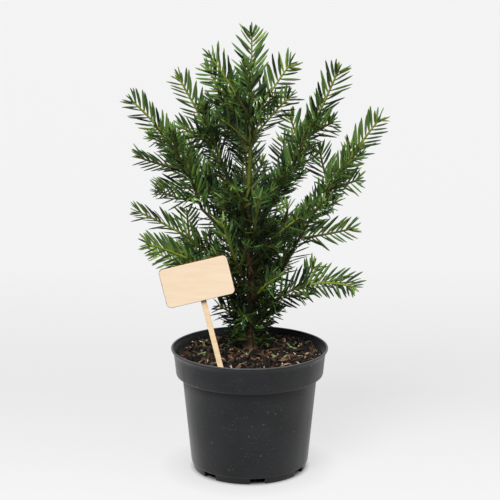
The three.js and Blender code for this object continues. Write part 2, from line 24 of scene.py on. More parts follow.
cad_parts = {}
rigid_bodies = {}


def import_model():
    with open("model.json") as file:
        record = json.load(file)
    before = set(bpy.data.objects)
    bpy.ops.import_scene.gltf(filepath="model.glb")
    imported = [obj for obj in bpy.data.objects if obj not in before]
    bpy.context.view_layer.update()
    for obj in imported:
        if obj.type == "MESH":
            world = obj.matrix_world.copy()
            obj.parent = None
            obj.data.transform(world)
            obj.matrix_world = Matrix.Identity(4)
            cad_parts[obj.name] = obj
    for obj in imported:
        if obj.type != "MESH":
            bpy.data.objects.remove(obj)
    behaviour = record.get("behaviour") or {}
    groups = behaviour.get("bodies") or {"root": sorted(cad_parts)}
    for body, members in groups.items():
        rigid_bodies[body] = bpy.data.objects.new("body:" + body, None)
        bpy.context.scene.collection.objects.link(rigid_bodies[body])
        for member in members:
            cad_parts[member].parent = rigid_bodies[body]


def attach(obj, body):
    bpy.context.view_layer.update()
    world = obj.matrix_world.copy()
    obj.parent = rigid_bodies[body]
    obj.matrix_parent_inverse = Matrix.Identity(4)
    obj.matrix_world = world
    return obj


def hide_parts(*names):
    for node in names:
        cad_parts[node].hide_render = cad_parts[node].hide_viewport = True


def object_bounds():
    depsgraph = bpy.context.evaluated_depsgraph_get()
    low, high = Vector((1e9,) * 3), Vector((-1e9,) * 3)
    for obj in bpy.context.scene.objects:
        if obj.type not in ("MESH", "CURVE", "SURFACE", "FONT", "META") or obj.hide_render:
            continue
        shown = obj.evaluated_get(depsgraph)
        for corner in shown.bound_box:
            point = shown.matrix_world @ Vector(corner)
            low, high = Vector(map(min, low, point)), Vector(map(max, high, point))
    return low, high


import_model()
CAD_BOX = [list(corner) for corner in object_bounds()]

LOG = logging.getLogger("yew")
MM = 0.001
ROOT_BODY = "root"
GOLDEN_ANGLE = 137.5

Colour = tuple[float, float, float]
Span = tuple[float, float, float]


# ------------------------------------------------------------------------------------------ small helpers


def chance(seed: float) -> float:
    """Returns a repeatable value from 0 to 1 for a whole number, the same as in the solids' rule."""
    wave = math.sin(seed * 12.9898 + 4.1414) * 43758.5453
    return wave - math.floor(wave)


def jitter(seed: float) -> float:
    """Returns a repeatable value from -1 to 1 for a whole number."""
    return 2 * chance(seed) - 1


def lerp(start: float, end: float, share: float) -> float:
    """Returns the value a share of the way from start to end."""
    return start + (end - start) * share


def clamp(value: float, low: float = 0.0, high: float = 1.0) -> float:
    """Returns the value kept between two limits."""
    return max(low, min(high, value))


def heading(azimuth: float, rise: float) -> np.ndarray:
    """Returns the unit vector of an azimuth and a rise in degrees."""
    turn, climb = math.radians(azimuth), math.radians(rise)
    return np.array((math.cos(climb) * math.cos(turn), math.cos(climb) * math.sin(turn), math.sin(climb)))


def unit(vectors: np.ndarray) -> np.ndarray:
    """Returns the vectors at length one."""
    return vectors / np.maximum(np.linalg.norm(vectors, axis=-1, keepdims=True), 1e-12)


# ------------------------------------------------------------------------------------------ node materials


class NodeGraph:
    """Builds one node material around a Principled shader."""

    def __init__(self, name: str, **sockets: object) -> None:
        """Starts the material.

        Args:
            name: The material's name.
            **sockets: Values for the shader's own sockets, with underscores for spaces.
        """
        self.material = bpy.data.materials.new(name)
        self.material.use_nodes = True
        self.tree = self.material.node_tree
        self.shader = self.tree.nodes["Principled BSDF"]
        for key, value in sockets.items():
            self.shader.inputs[key.replace("_", " ")].default_value = value

    def node(self, kind: str, **settings: object) -> bpy.types.Node:
        """Adds a node.

        Args:
            kind: The node's type name.
            **settings: Values for its properties, or for its inputs where it has no such property.

        Returns:
            The new node.
        """
        made = self.tree.nodes.new(kind)
        for key, value in settings.items():
            if hasattr(made, key):
                setattr(made, key, value)
            else:
                made.inputs[key].default_value = value
        return made

    def link(self, source: bpy.types.NodeSocket, target: bpy.types.NodeSocket) -> None:
        """Joins two sockets."""
        self.tree.links.new(source, target)

    def place(self, stretch: Span = (1.0, 1.0, 1.0), turn: Span = (0.0, 0.0, 0.0)) -> bpy.types.NodeSocket:
        """Adds the piece's object coordinates.

        Args:
            stretch: How much they are stretched along each axis first.
            turn: How far they are then turned about each axis, in degrees.

        Returns:
            The coordinates.
        """
        source = self.node("ShaderNodeTexCoord")
        mapping = self.node("ShaderNodeMapping")
        mapping.inputs["Scale"].default_value = stretch
        mapping.inputs["Rotation"].default_value = [math.radians(angle) for angle in turn]
        self.link(source.outputs["Object"], mapping.inputs["Vector"])
        return mapping.outputs["Vector"]

    def noise(self, where: bpy.types.NodeSocket, scale: float, detail: float = 3.0) -> bpy.types.NodeSocket:
        """Adds a noise.

        Args:
            where: The coordinates that it is read at.
            scale: How fine it is.
            detail: How many finer layers it has.

        Returns:
            Its factor.
        """
        made = self.node("ShaderNodeTexNoise", Scale=scale, Detail=detail)
        self.link(where, made.inputs["Vector"])
        return made.outputs["Fac"]

    def ramp(
        self,
        factor: bpy.types.NodeSocket,
        stops: Sequence[tuple[float, Colour]],
    ) -> bpy.types.NodeSocket:
        """Adds a colour ramp.

        Args:
            factor: Where it is read.
            stops: Its stops, each a position and a colour.

        Returns:
            The colour.
        """
        made = self.node("ShaderNodeValToRGB")
        elements = made.color_ramp.elements
        while len(elements) < len(stops):
            elements.new(0.5)
        for element, (position, colour) in zip(elements, stops):
            element.position = position
            element.color = (*colour, 1.0)
        self.link(factor, made.inputs["Fac"])
        return made.outputs["Color"]

    def span(
        self,
        factor: bpy.types.NodeSocket,
        low: float,
        high: float,
        to_low: float,
        to_high: float,
    ) -> bpy.types.NodeSocket:
        """Carries a factor from one range to another, and keeps it inside that.

        Args:
            factor: The factor.
            low: The start of the first range.
            high: Its end.
            to_low: The start of the second range.
            to_high: Its end.

        Returns:
            The new factor.
        """
        made = self.node("ShaderNodeMapRange")
        for key, value in zip(("From Min", "From Max", "To Min", "To Max"), (low, high, to_low, to_high)):
            made.inputs[key].default_value = value
        self.link(factor, made.inputs["Value"])
        return made.outputs["Result"]

    def mix(self, factor: bpy.types.NodeSocket, first: object, second: object) -> bpy.types.NodeSocket:
        """Mixes two colours.

        Args:
            factor: The share of the second.
            first: A colour or a colour's socket.
            second: Another.

        Returns:
            The mixed colour.
        """
        made = self.node("ShaderNodeMix", data_type="RGBA")
        self.link(factor, made.inputs["Factor"])
        # a colour mix has its two colours at inputs 6 and 7, and its result at output 2
        for socket, value in ((made.inputs[6], first), (made.inputs[7], second)):
            if isinstance(value, bpy.types.NodeSocket):
                self.link(value, socket)
            else:
                socket.default_value = (*value, 1.0)
        return made.outputs[2]

    def colour(self, source: bpy.types.NodeSocket) -> None:
        """Joins a colour to the shader."""
        self.link(source, self.shader.inputs["Base Color"])

    def roughness(self, source: bpy.types.NodeSocket) -> None:
        """Joins a roughness to the shader."""
        self.link(source, self.shader.inputs["Roughness"])

    def bump(self, height: bpy.types.NodeSocket, depth: float, strength: float = 1.0) -> None:
        """Joins a relief to the shader.

        Args:
            height: The height of the relief.
            depth: How deep it is in metres.
            strength: How strongly it shows.
        """
        made = self.node("ShaderNodeBump", Strength=strength, Distance=depth)
        self.link(height, made.inputs["Height"])
        self.link(made.outputs["Normal"], self.shader.inputs["Normal"])


@dataclass(frozen=True)
class PlainFinish:
    """A plain finish for small pieces that are dealt out by spray or by kind."""

    name: str
    colour: Colour
    roughness: float = 0.6
    specular: float = 0.5

    def material(self) -> bpy.types.Material:
        """Builds the finish.

        Returns:
            Its material.
        """
        graph = NodeGraph(self.name, Roughness=self.roughness, Specular_IOR_Level=self.specular)
        graph.shader.inputs["Base Color"].default_value = (*self.colour, 1.0)
        return graph.material


@dataclass(frozen=True)
class MouldedPlastic:
    """The pot's black moulded plastic, with scuffs, faint upright streaks and dusty specks.

    Its lip pales with wear and a painted highlight above a height in metres, and fully from another.
    """

    deep: Colour = (0.0065, 0.007, 0.008)
    worn: Colour = (0.0135, 0.0145, 0.0165)
    scuff: Colour = (0.045, 0.047, 0.055)
    dust_and_highlight: Colour = (0.17, 0.175, 0.18)
    lip_wear_and_highlight_from: float = 0.1336
    lip_wear_and_highlight_to: float = 0.1346

    def material(self) -> bpy.types.Material:
        """Builds the finish.

        Returns:
            Its material.
        """
        graph = NodeGraph("moulded_plastic", Specular_IOR_Level=0.25, Sheen_Weight=0.16, Sheen_Roughness=0.45)
        body = graph.place()
        upright = graph.place((1.0, 1.0, 0.06))
        clouds = graph.ramp(graph.noise(body, 26, 4), ((0.34, self.deep), (0.7, self.worn)))
        streaks = graph.span(graph.noise(upright, 190, 3), 0.55, 0.8, 0.0, 0.45)
        streaked = graph.mix(streaks, clouds, self.worn)
        specks = graph.span(graph.noise(body, 700, 1), 0.715, 0.775, 0.0, 0.6)
        grains = graph.span(graph.noise(body, 210, 1), 0.755, 0.785, 0.0, 0.5)
        level = graph.place((1.0, 1.0, 9.0))
        scuffs = graph.span(graph.noise(level, 70, 5), 0.58, 0.8, 0.0, 0.45)
        height = graph.node("ShaderNodeSeparateXYZ")
        graph.link(body, height.inputs[0])
        # painted highlight and wear: the lip pales above a height
        lip_wear_and_highlight = graph.span(height.outputs["Z"], self.lip_wear_and_highlight_from, self.lip_wear_and_highlight_to, 0.0, 0.42)
        dusted = graph.mix(grains, graph.mix(specks, streaked, self.dust_and_highlight), self.dust_and_highlight)
        graph.colour(graph.mix(lip_wear_and_highlight, graph.mix(scuffs, dusted, self.scuff), self.dust_and_highlight))
        graph.roughness(graph.span(graph.noise(upright, 60, 4), 0.3, 0.7, 0.3, 0.46))
        graph.bump(graph.noise(body, 900, 4), 0.00012, 0.5)
        return graph.material


@dataclass(frozen=True)
class Bark:
    """Bark that runs from brown, flaking wood to green young wood between two heights in metres."""

    name: str
    old: Colour
    flake: Colour
    young: Colour
    green_from: float
    green_to: float

    def material(self) -> bpy.types.Material:
        """Builds the finish.

        Returns:
            Its material.
        """
        graph = NodeGraph(self.name, Roughness=0.78, Specular_IOR_Level=0.3)
        along = graph.place((1.0, 1.0, 0.22))
        body = graph.place()
        flakes = graph.ramp(graph.noise(along, 420, 5), ((0.36, self.old), (0.66, self.flake)))
        height = graph.node("ShaderNodeSeparateXYZ")
        graph.link(body, height.inputs[0])
        greening = graph.span(height.outputs["Z"], self.green_from, self.green_to, 0.0, 0.9)
        graph.colour(graph.mix(greening, flakes, self.young))
        graph.bump(graph.noise(along, 900, 5), 0.0004, 0.8)
        return graph.material


@dataclass(frozen=True)
class PaleWood:
    """Sanded pale wood with a fine level grain.

    The lean in degrees picks a part of the grain's pattern, which runs closer the more rings there are.
    """

    name: str
    pale: Colour
    grain: Colour
    lean: float
    rings: float

    def material(self) -> bpy.types.Material:
        """Builds the finish.

        Returns:
            Its material.
        """
        graph = NodeGraph(self.name, Roughness=0.62, Specular_IOR_Level=0.35)
        along = graph.place((1.0, 1.0, self.rings), (0.0, self.lean, 0.0))
        fine = graph.noise(along, 30, 6)
        clouds = graph.noise(graph.place(), 34, 2)
        wood = graph.ramp(fine, ((0.4, self.pale), (0.85, self.grain)))
        graph.colour(graph.mix(graph.span(clouds, 0.4, 0.75, 0.0, 0.25), wood, self.grain))
        graph.bump(fine, 0.0002, 0.4)
        return graph.material


@dataclass(frozen=True)
class Crumb:
    """Dark, moist crumbs of potting bark."""

    wet: Colour = (0.006, 0.004, 0.003)
    dry: Colour = (0.036, 0.021, 0.013)

    def material(self) -> bpy.types.Material:
        """Builds the finish.

        Returns:
            Its material.
        """
        graph = NodeGraph("potting_crumb", Roughness=0.88, Specular_IOR_Level=0.25)
        body = graph.place()
        lumps = graph.noise(body, 260, 6)
        graph.colour(graph.ramp(lumps, ((0.42, self.wet), (0.7, self.dry))))
        graph.bump(lumps, 0.0012, 0.9)
        return graph.material


# ------------------------------------------------------------------------------------------ pieces


def piece_from(
    mesh: bpy.types.Mesh,
    name: str,
    materials: Sequence[bpy.types.Material],
    nodes: Iterable[str] = (),
    smooth: bool = True,
) -> bpy.types.Object:
    """Makes a finished piece that rides on the plant's body.

    Args:
        mesh: The piece's mesh, in metres, already in place.
        name: The piece's name.
        materials: Its materials, in the order that its faces number them.
        nodes: The solids that it stands for.
        smooth: Whether its faces are shaded smooth.

    Returns:
        The new object, at the origin.
    """
    for material in materials:
        mesh.materials.append(material)
    if smooth:
        mesh.shade_smooth()
    else:
        mesh.shade_flat()
    piece = bpy.data.objects.new(name, mesh)
    bpy.context.scene.collection.objects.link(piece)
    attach(piece, ROOT_BODY)
    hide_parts(*nodes)
    LOG.info("%s: %d faces, stands for %d solids", name, len(mesh.polygons), len(list(nodes)))
    return piece


def mesh_from(bm: bmesh.types.BMesh, name: str, recalculate: bool = True) -> bpy.types.Mesh:
    """Turns a bmesh into a mesh, and frees it.

    Args:
        bm: The shape.
        name: The mesh's name.
        recalculate: Whether its faces are turned outwards first.

    Returns:
        The new mesh.
    """
    if recalculate:
        bmesh.ops.recalc_face_normals(bm, faces=bm.faces)
    mesh = bpy.data.meshes.new(name)
    bm.to_mesh(mesh)
    bm.free()
    return mesh


def verts_of(items: Iterable[object]) -> list[bmesh.types.BMVert]:
    """Returns the vertices among the items that a bmesh operator gives back."""
    return [item for item in items if isinstance(item, bmesh.types.BMVert)]


def column(sides: int, cuts: int) -> bmesh.types.BMesh:
    """Makes a closed column of unit radius and height around the origin.

    Args:
        sides: How many sides it has.
        cuts: How many rings cut its upright edges.

    Returns:
        The column.
    """
    bm = bmesh.new()
    bmesh.ops.create_cone(bm, cap_ends=True, segments=sides, radius1=1.0, radius2=1.0, depth=1.0)
    upright = [edge for edge in bm.edges if abs(edge.verts[0].co.z - edge.verts[1].co.z) > 0.5]
    bmesh.ops.subdivide_edges(bm, edges=upright, cuts=cuts)
    return bm


@dataclass
class Template:
    """A small shape as arrays: places, faces by vertex number, and a material number for each face."""

    places: np.ndarray
    faces: list[list[int]]
    tints: np.ndarray

    @classmethod
    def of(cls, bm: bmesh.types.BMesh, tint: Callable[[bmesh.types.BMFace], int] | None = None) -> Template:
        """Reads a bmesh and frees it.

        Args:
            bm: The shape.
            tint: Gives a face its material number, or None for 0 on all.

        Returns:
            The shape as a template.
        """
        bmesh.ops.recalc_face_normals(bm, faces=bm.faces)
        bm.verts.index_update()
        places = np.array([vert.co for vert in bm.verts], float)
        faces = [[vert.index for vert in face.verts] for face in bm.faces]
        tints = np.array([tint(face) if tint else 0 for face in bm.faces], int)
        bm.free()
        return cls(places, faces, tints)


@dataclass
class Swarm:
    """Many copies of small shapes that become one joined mesh."""

    name: str
    places: list[np.ndarray] = field(default_factory=list)
    loops: list[np.ndarray] = field(default_factory=list)
    sizes: list[np.ndarray] = field(default_factory=list)
    tints: list[np.ndarray] = field(default_factory=list)
    count: int = 0

    def add(self, template: Template, places: np.ndarray, tint_steps: np.ndarray | int = 0) -> None:
        """Adds copies of a template.

        Args:
            template: The shape that is copied.
            places: The vertices of each copy, as an array of copies by vertices by 3, in mm.
            tint_steps: A number for each copy that is added to its faces' material numbers.
        """
        copies, size = places.shape[:2]
        flat = np.concatenate([np.array(face) for face in template.faces])
        starts = self.count + size * np.arange(copies)
        self.loops.append((flat[None] + starts[:, None]).ravel())
        self.sizes.append(np.tile([len(face) for face in template.faces], copies))
        steps = np.broadcast_to(np.asarray(tint_steps), (copies,))
        self.tints.append((template.tints[None] + steps[:, None]).ravel())
        self.places.append(places.reshape(-1, 3))
        self.count += copies * size

    def mesh(self) -> bpy.types.Mesh:
        """Joins all the copies.

        Returns:
            One mesh in metres.
        """
        mesh = bpy.data.meshes.new(self.name)
        places = np.concatenate(self.places) * MM
        loops = np.concatenate(self.loops)
        sizes = np.concatenate(self.sizes)
        mesh.vertices.add(len(places))
        mesh.vertices.foreach_set("co", places.ravel())
        mesh.loops.add(len(loops))
        mesh.loops.foreach_set("vertex_index", loops.astype(np.int32))
        mesh.polygons.add(len(sizes))
        mesh.polygons.foreach_set("loop_start", (np.cumsum(sizes) - sizes).astype(np.int32))
        mesh.polygons.foreach_set("material_index", np.concatenate(self.tints).astype(np.int32))
        mesh.update(calc_edges=True)
        mesh.validate()
        return mesh


# ------------------------------------------------------------------------------------------ studio


@dataclass
class Studio:
    """Pale floor, soft lights and the camera."""

    eye: Span = (0.0004, -1.47, 0.5555)
    pitch: float = -12.06
    lens: float = 101.376
    sensor: float = 36.0
    floor_half: float = 60.0
    floor_drop: float = 0.0002
    band_from: float = -0.15
    band_to: float = 3.0
    surroundings: float = 0.03

    def build(self) -> None:
        """Builds the whole studio."""
        self.build_camera()
        self.build_floor()
        self.build_lights()
        LOG.info("studio: camera, floor and lights")

    def build_camera(self) -> None:
        """Builds the camera at its angle, and makes it the scene's own."""
        data = bpy.data.cameras.new("studio_camera")
        data.lens = self.lens
        data.sensor_width = self.sensor
        data.clip_end = 200.0
        camera = bpy.data.objects.new("studio_camera", data)
        camera.location = self.eye
        camera.rotation_euler = (math.radians(90.0 + self.pitch), 0.0, 0.0)
        bpy.context.scene.collection.objects.link(camera)
        bpy.context.scene.camera = camera

    def build_floor(self) -> None:
        """Builds the floor, with painted shade in a band behind the pot and a painted contact shadow under
        it.
        """
        bm = bmesh.new()
        bmesh.ops.create_grid(bm, x_segments=1, y_segments=1, size=self.floor_half)
        bmesh.ops.translate(bm, verts=bm.verts, vec=(0.0, 0.0, -self.floor_drop))
        floor = bpy.data.objects.new("studio_floor", mesh_from(bm, "studio_floor", recalculate=False))
        bpy.context.scene.collection.objects.link(floor)
        matt = {"Base_Color": (0.1, 0.1, 0.1, 1.0), "Roughness": 0.9, "Specular_IOR_Level": 0.1}
        graph = NodeGraph("studio_floor", **matt)
        depth = graph.node("ShaderNodeSeparateXYZ")
        graph.link(graph.place(), depth.inputs[0])
        back = graph.span(depth.outputs["Y"], self.band_from, self.band_to, 0.0, 1.0)
        # painted shade: the floor's glow dips in a band behind the pot
        light, shade, far = (0.79,) * 3, (0.685,) * 3, (0.75,) * 3
        stops = ((0.0, light), (0.13, shade), (0.18, shade), (0.36, far), (1.0, far))
        under = graph.node("ShaderNodeVectorMath", operation="LENGTH")
        graph.link(graph.place(), under.inputs[0])
        # painted contact shadow: black under the pot, and a little painted shade close round it
        painted_shadow_stops = ((0.0575, (0.0,) * 3), (0.0655, (0.86,) * 3), (0.1, (1.0,) * 3))
        outside_painted_shadow = graph.ramp(under.outputs["Value"], painted_shadow_stops)
        glow = graph.mix(outside_painted_shadow, (0.0, 0.0, 0.0), graph.ramp(back, stops))
        graph.link(glow, graph.shader.inputs["Emission Color"])
        graph.shader.inputs["Emission Strength"].default_value = 1.0
        floor.data.materials.append(graph.material)
        floor.visible_diffuse = False

    def build_lights(self) -> None:
        """Builds the faint white surroundings and the three soft lamps."""
        scene = bpy.context.scene
        scene.view_settings.view_transform = "Standard"
        world = bpy.data.worlds.new("studio_white")
        world.use_nodes = True
        background = world.node_tree.nodes["Background"]
        background.inputs["Color"].default_value = (1.0, 1.0, 1.0, 1.0)
        background.inputs["Strength"].default_value = self.surroundings
        scene.world = world
        self.add_lamp("key", (-0.45, -0.9, 1.05), 3.75, 30.0)
        self.add_lamp("fill", (0.85, -0.65, 1.0), 1.4, 60.0)
        self.add_lamp("back", (0.2, 0.9, 0.9), 0.7, 80.0)

    def add_lamp(self, name: str, towards: Span, strength: float, softness: float) -> None:
        """Adds a broad lamp that is far away.

        Args:
            name: The lamp's name.
            towards: The direction that its light comes from.
            strength: Its strength.
            softness: The angle in degrees that it fills.
        """
        data = bpy.data.lights.new(name, "SUN")
        data.energy = strength
        data.angle = math.radians(softness)
        light = bpy.data.objects.new(name, data)
        light.rotation_euler = Vector(towards).to_track_quat("Z", "Y").to_euler()
        bpy.context.scene.collection.objects.link(light)


# ------------------------------------------------------------------------------------------ pot


@dataclass
class NurseryPot:
    """The round pot: one moulded sheet with a turned lip, a collar and drain notches in its foot."""

    height: float = 135.0
    lip_radius: float = 85.0
    collar_top: float = 82.0
    collar_bottom: float = 80.0
    collar_foot: float = 105.0
    shoulder_radius: float = 73.0
    heel_radius: float = 64.0
    heel_height: float = 8.0
    foot_radius: float = 61.4
    channel_radius: float = 55.0
    channel_height: float = 7.0
    disc_radius: float = 30.0
    wall: float = 1.6
    steps: int = 140
    notches: int = 7
    first_notch: float = -82.0
    notch_steps: int = 6
    notch_height: float = 6.4
    edge_rounding: float = 0.35

    def profile(self) -> list[tuple[float, float]]:
        """Lays out the outside of the sheet, from the lip to the middle of the underside.

        Returns:
            Pairs of radius and height in mm.
        """
        top, lip = self.height, self.lip_radius
        return [
            (lip - 2.2, top - 0.7),
            (lip - 1.7, top - 0.15),
            (lip - 0.9, top),
            (lip - 0.25, top - 0.3),
            (lip, top - 0.9),
            (lip - 0.2, top - 1.9),
            (lip - 0.8, top - 3.0),
            (lip - 1.6, top - 4.2),
            (self.collar_top + 0.5, top - 6.0),
            (self.collar_top, top - 8.5),
            (lerp(self.collar_bottom, self.collar_top, 0.5), lerp(self.collar_foot, top, 0.45)),
            (self.collar_bottom, self.collar_foot + 2.4),
            (self.collar_bottom - 0.5, self.collar_foot + 0.8),
            (self.collar_bottom - 1.7, self.collar_foot),
            (self.shoulder_radius + 1.6, self.collar_foot - 0.3),
            (self.shoulder_radius + 0.5, self.collar_foot - 1.0),
            (self.shoulder_radius, self.collar_foot - 2.6),
            (
                lerp(self.heel_radius, self.shoulder_radius, 0.5),
                lerp(self.heel_height, self.collar_foot, 0.49),
            ),
            (self.heel_radius + 0.1, self.heel_height + 1.0),
            (self.heel_radius - 0.5, self.heel_height - 0.6),
            (self.foot_radius + 0.9, self.notch_height),
            (self.foot_radius + 0.1, 0.7),
            (self.foot_radius - 0.7, 0.0),
            (self.channel_radius + 2.0, 0.0),
            (self.channel_radius + 1.3, 0.6),
            (self.channel_radius + 0.3, self.notch_height),
            (self.channel_radius - 1.0, self.channel_height),
            (self.disc_radius + 3.4, self.channel_height),
            (self.disc_radius + 0.4, 0.2),
            (self.disc_radius - 0.4, 0.0),
            (0.0, 0.0),
        ]

    def half_notch(self) -> float:
        """Returns half the width of a notch in degrees."""
        return 180.0 * self.notch_steps / self.steps

    def build(self) -> bpy.types.Object:
        """Builds the pot.

        Returns:
            The pot as a finished piece.
        """
        bm = bmesh.new()
        # the spin starts at the edge of a notch, so that every notch ends on a step of it
        start = Matrix.Rotation(math.radians(self.first_notch - self.half_notch()), 3, "Z")
        verts = [bm.verts.new(start @ Vector((radius, 0.0, height))) for radius, height in self.profile()]
        edges = [bm.edges.new(pair) for pair in zip(verts, verts[1:])]
        bmesh.ops.spin(
            bm,
            geom=verts + edges,
            cent=(0.0, 0.0, 0.0),
            axis=(0.0, 0.0, 1.0),
            angle=2 * math.pi,
            steps=self.steps,
            use_merge=True,
        )
        bmesh.ops.remove_doubles(bm, verts=bm.verts, dist=1e-4)
        bmesh.ops.recalc_face_normals(bm, faces=bm.faces)
        upper = max(bm.faces, key=lambda face: face.calc_center_median().z)
        if upper.normal.z < 0:
            bmesh.ops.reverse_faces(bm, faces=bm.faces)
        bmesh.ops.delete(bm, geom=[face for face in bm.faces if self.is_open(face)], context="FACES")
        bmesh.ops.scale(bm, verts=bm.verts, vec=(MM, MM, MM))
        mesh = mesh_from(bm, "pot_shell", recalculate=False)
        pot = piece_from(mesh, "pot_shell", [MouldedPlastic().material()], ["pot"])
        wall = pot.modifiers.new("wall", "SOLIDIFY")
        wall.thickness = self.wall * MM
        wall.offset = -1.0
        wall.use_even_offset = True
        edge = pot.modifiers.new("edge", "BEVEL")
        edge.width = self.edge_rounding * MM
        edge.segments = 2
        edge.limit_method = "ANGLE"
        edge.angle_limit = math.radians(40.0)
        return pot

    def is_open(self, face: bmesh.types.BMFace) -> bool:
        """Tells whether a face of the sheet lies in a drain notch.

        Args:
            face: The face, in mm.

        Returns:
            True where the sheet is open.
        """
        middle = face.calc_center_median()
        radius = math.hypot(middle.x, middle.y)
        azimuth = math.degrees(math.atan2(middle.y, middle.x)) - self.first_notch
        pitch = 360.0 / self.notches
        off = abs((azimuth + pitch / 2) % pitch - pitch / 2)
        in_foot = radius > self.channel_radius and middle.z < self.notch_height
        return in_foot and off < self.half_notch()


# ------------------------------------------------------------------------------------------ soil


class Chip(Enum):
    """The bits in the potting bark: finish, share of all, lengths in mm, thickness and width."""

    DARK = (PlainFinish("bark_dark", (0.007, 0.0045, 0.0035), 0.85, 0.3), 0.44, (6.0, 20.0), 0.24, 1.0)
    BROWN = (PlainFinish("bark_brown", (0.045, 0.026, 0.014), 0.8, 0.3), 0.22, (6.0, 20.0), 0.22, 0.9)
    RED = (PlainFinish("bark_red", (0.15, 0.08, 0.046), 0.8, 0.3), 0.13, (6.0, 18.0), 0.2, 0.85)
    TAN = (PlainFinish("bark_tan", (0.36, 0.24, 0.15), 0.75, 0.35), 0.09, (5.0, 15.0), 0.18, 0.75)
    SPLINTER = (PlainFinish("bark_splinter", (0.62, 0.48, 0.3), 0.7, 0.35), 0.04, (5.0, 14.0), 0.12, 0.5)
    GRIT = (PlainFinish("grit_white", (0.75, 0.72, 0.64), 0.7, 0.4), 0.01, (1.6, 3.2), 0.8, 2.0)
    LEAF = (PlainFinish("leaf_fallen", (0.2, 0.27, 0.09), 0.6, 0.35), 0.018, (17.0, 24.0), 0.07, 0.36)


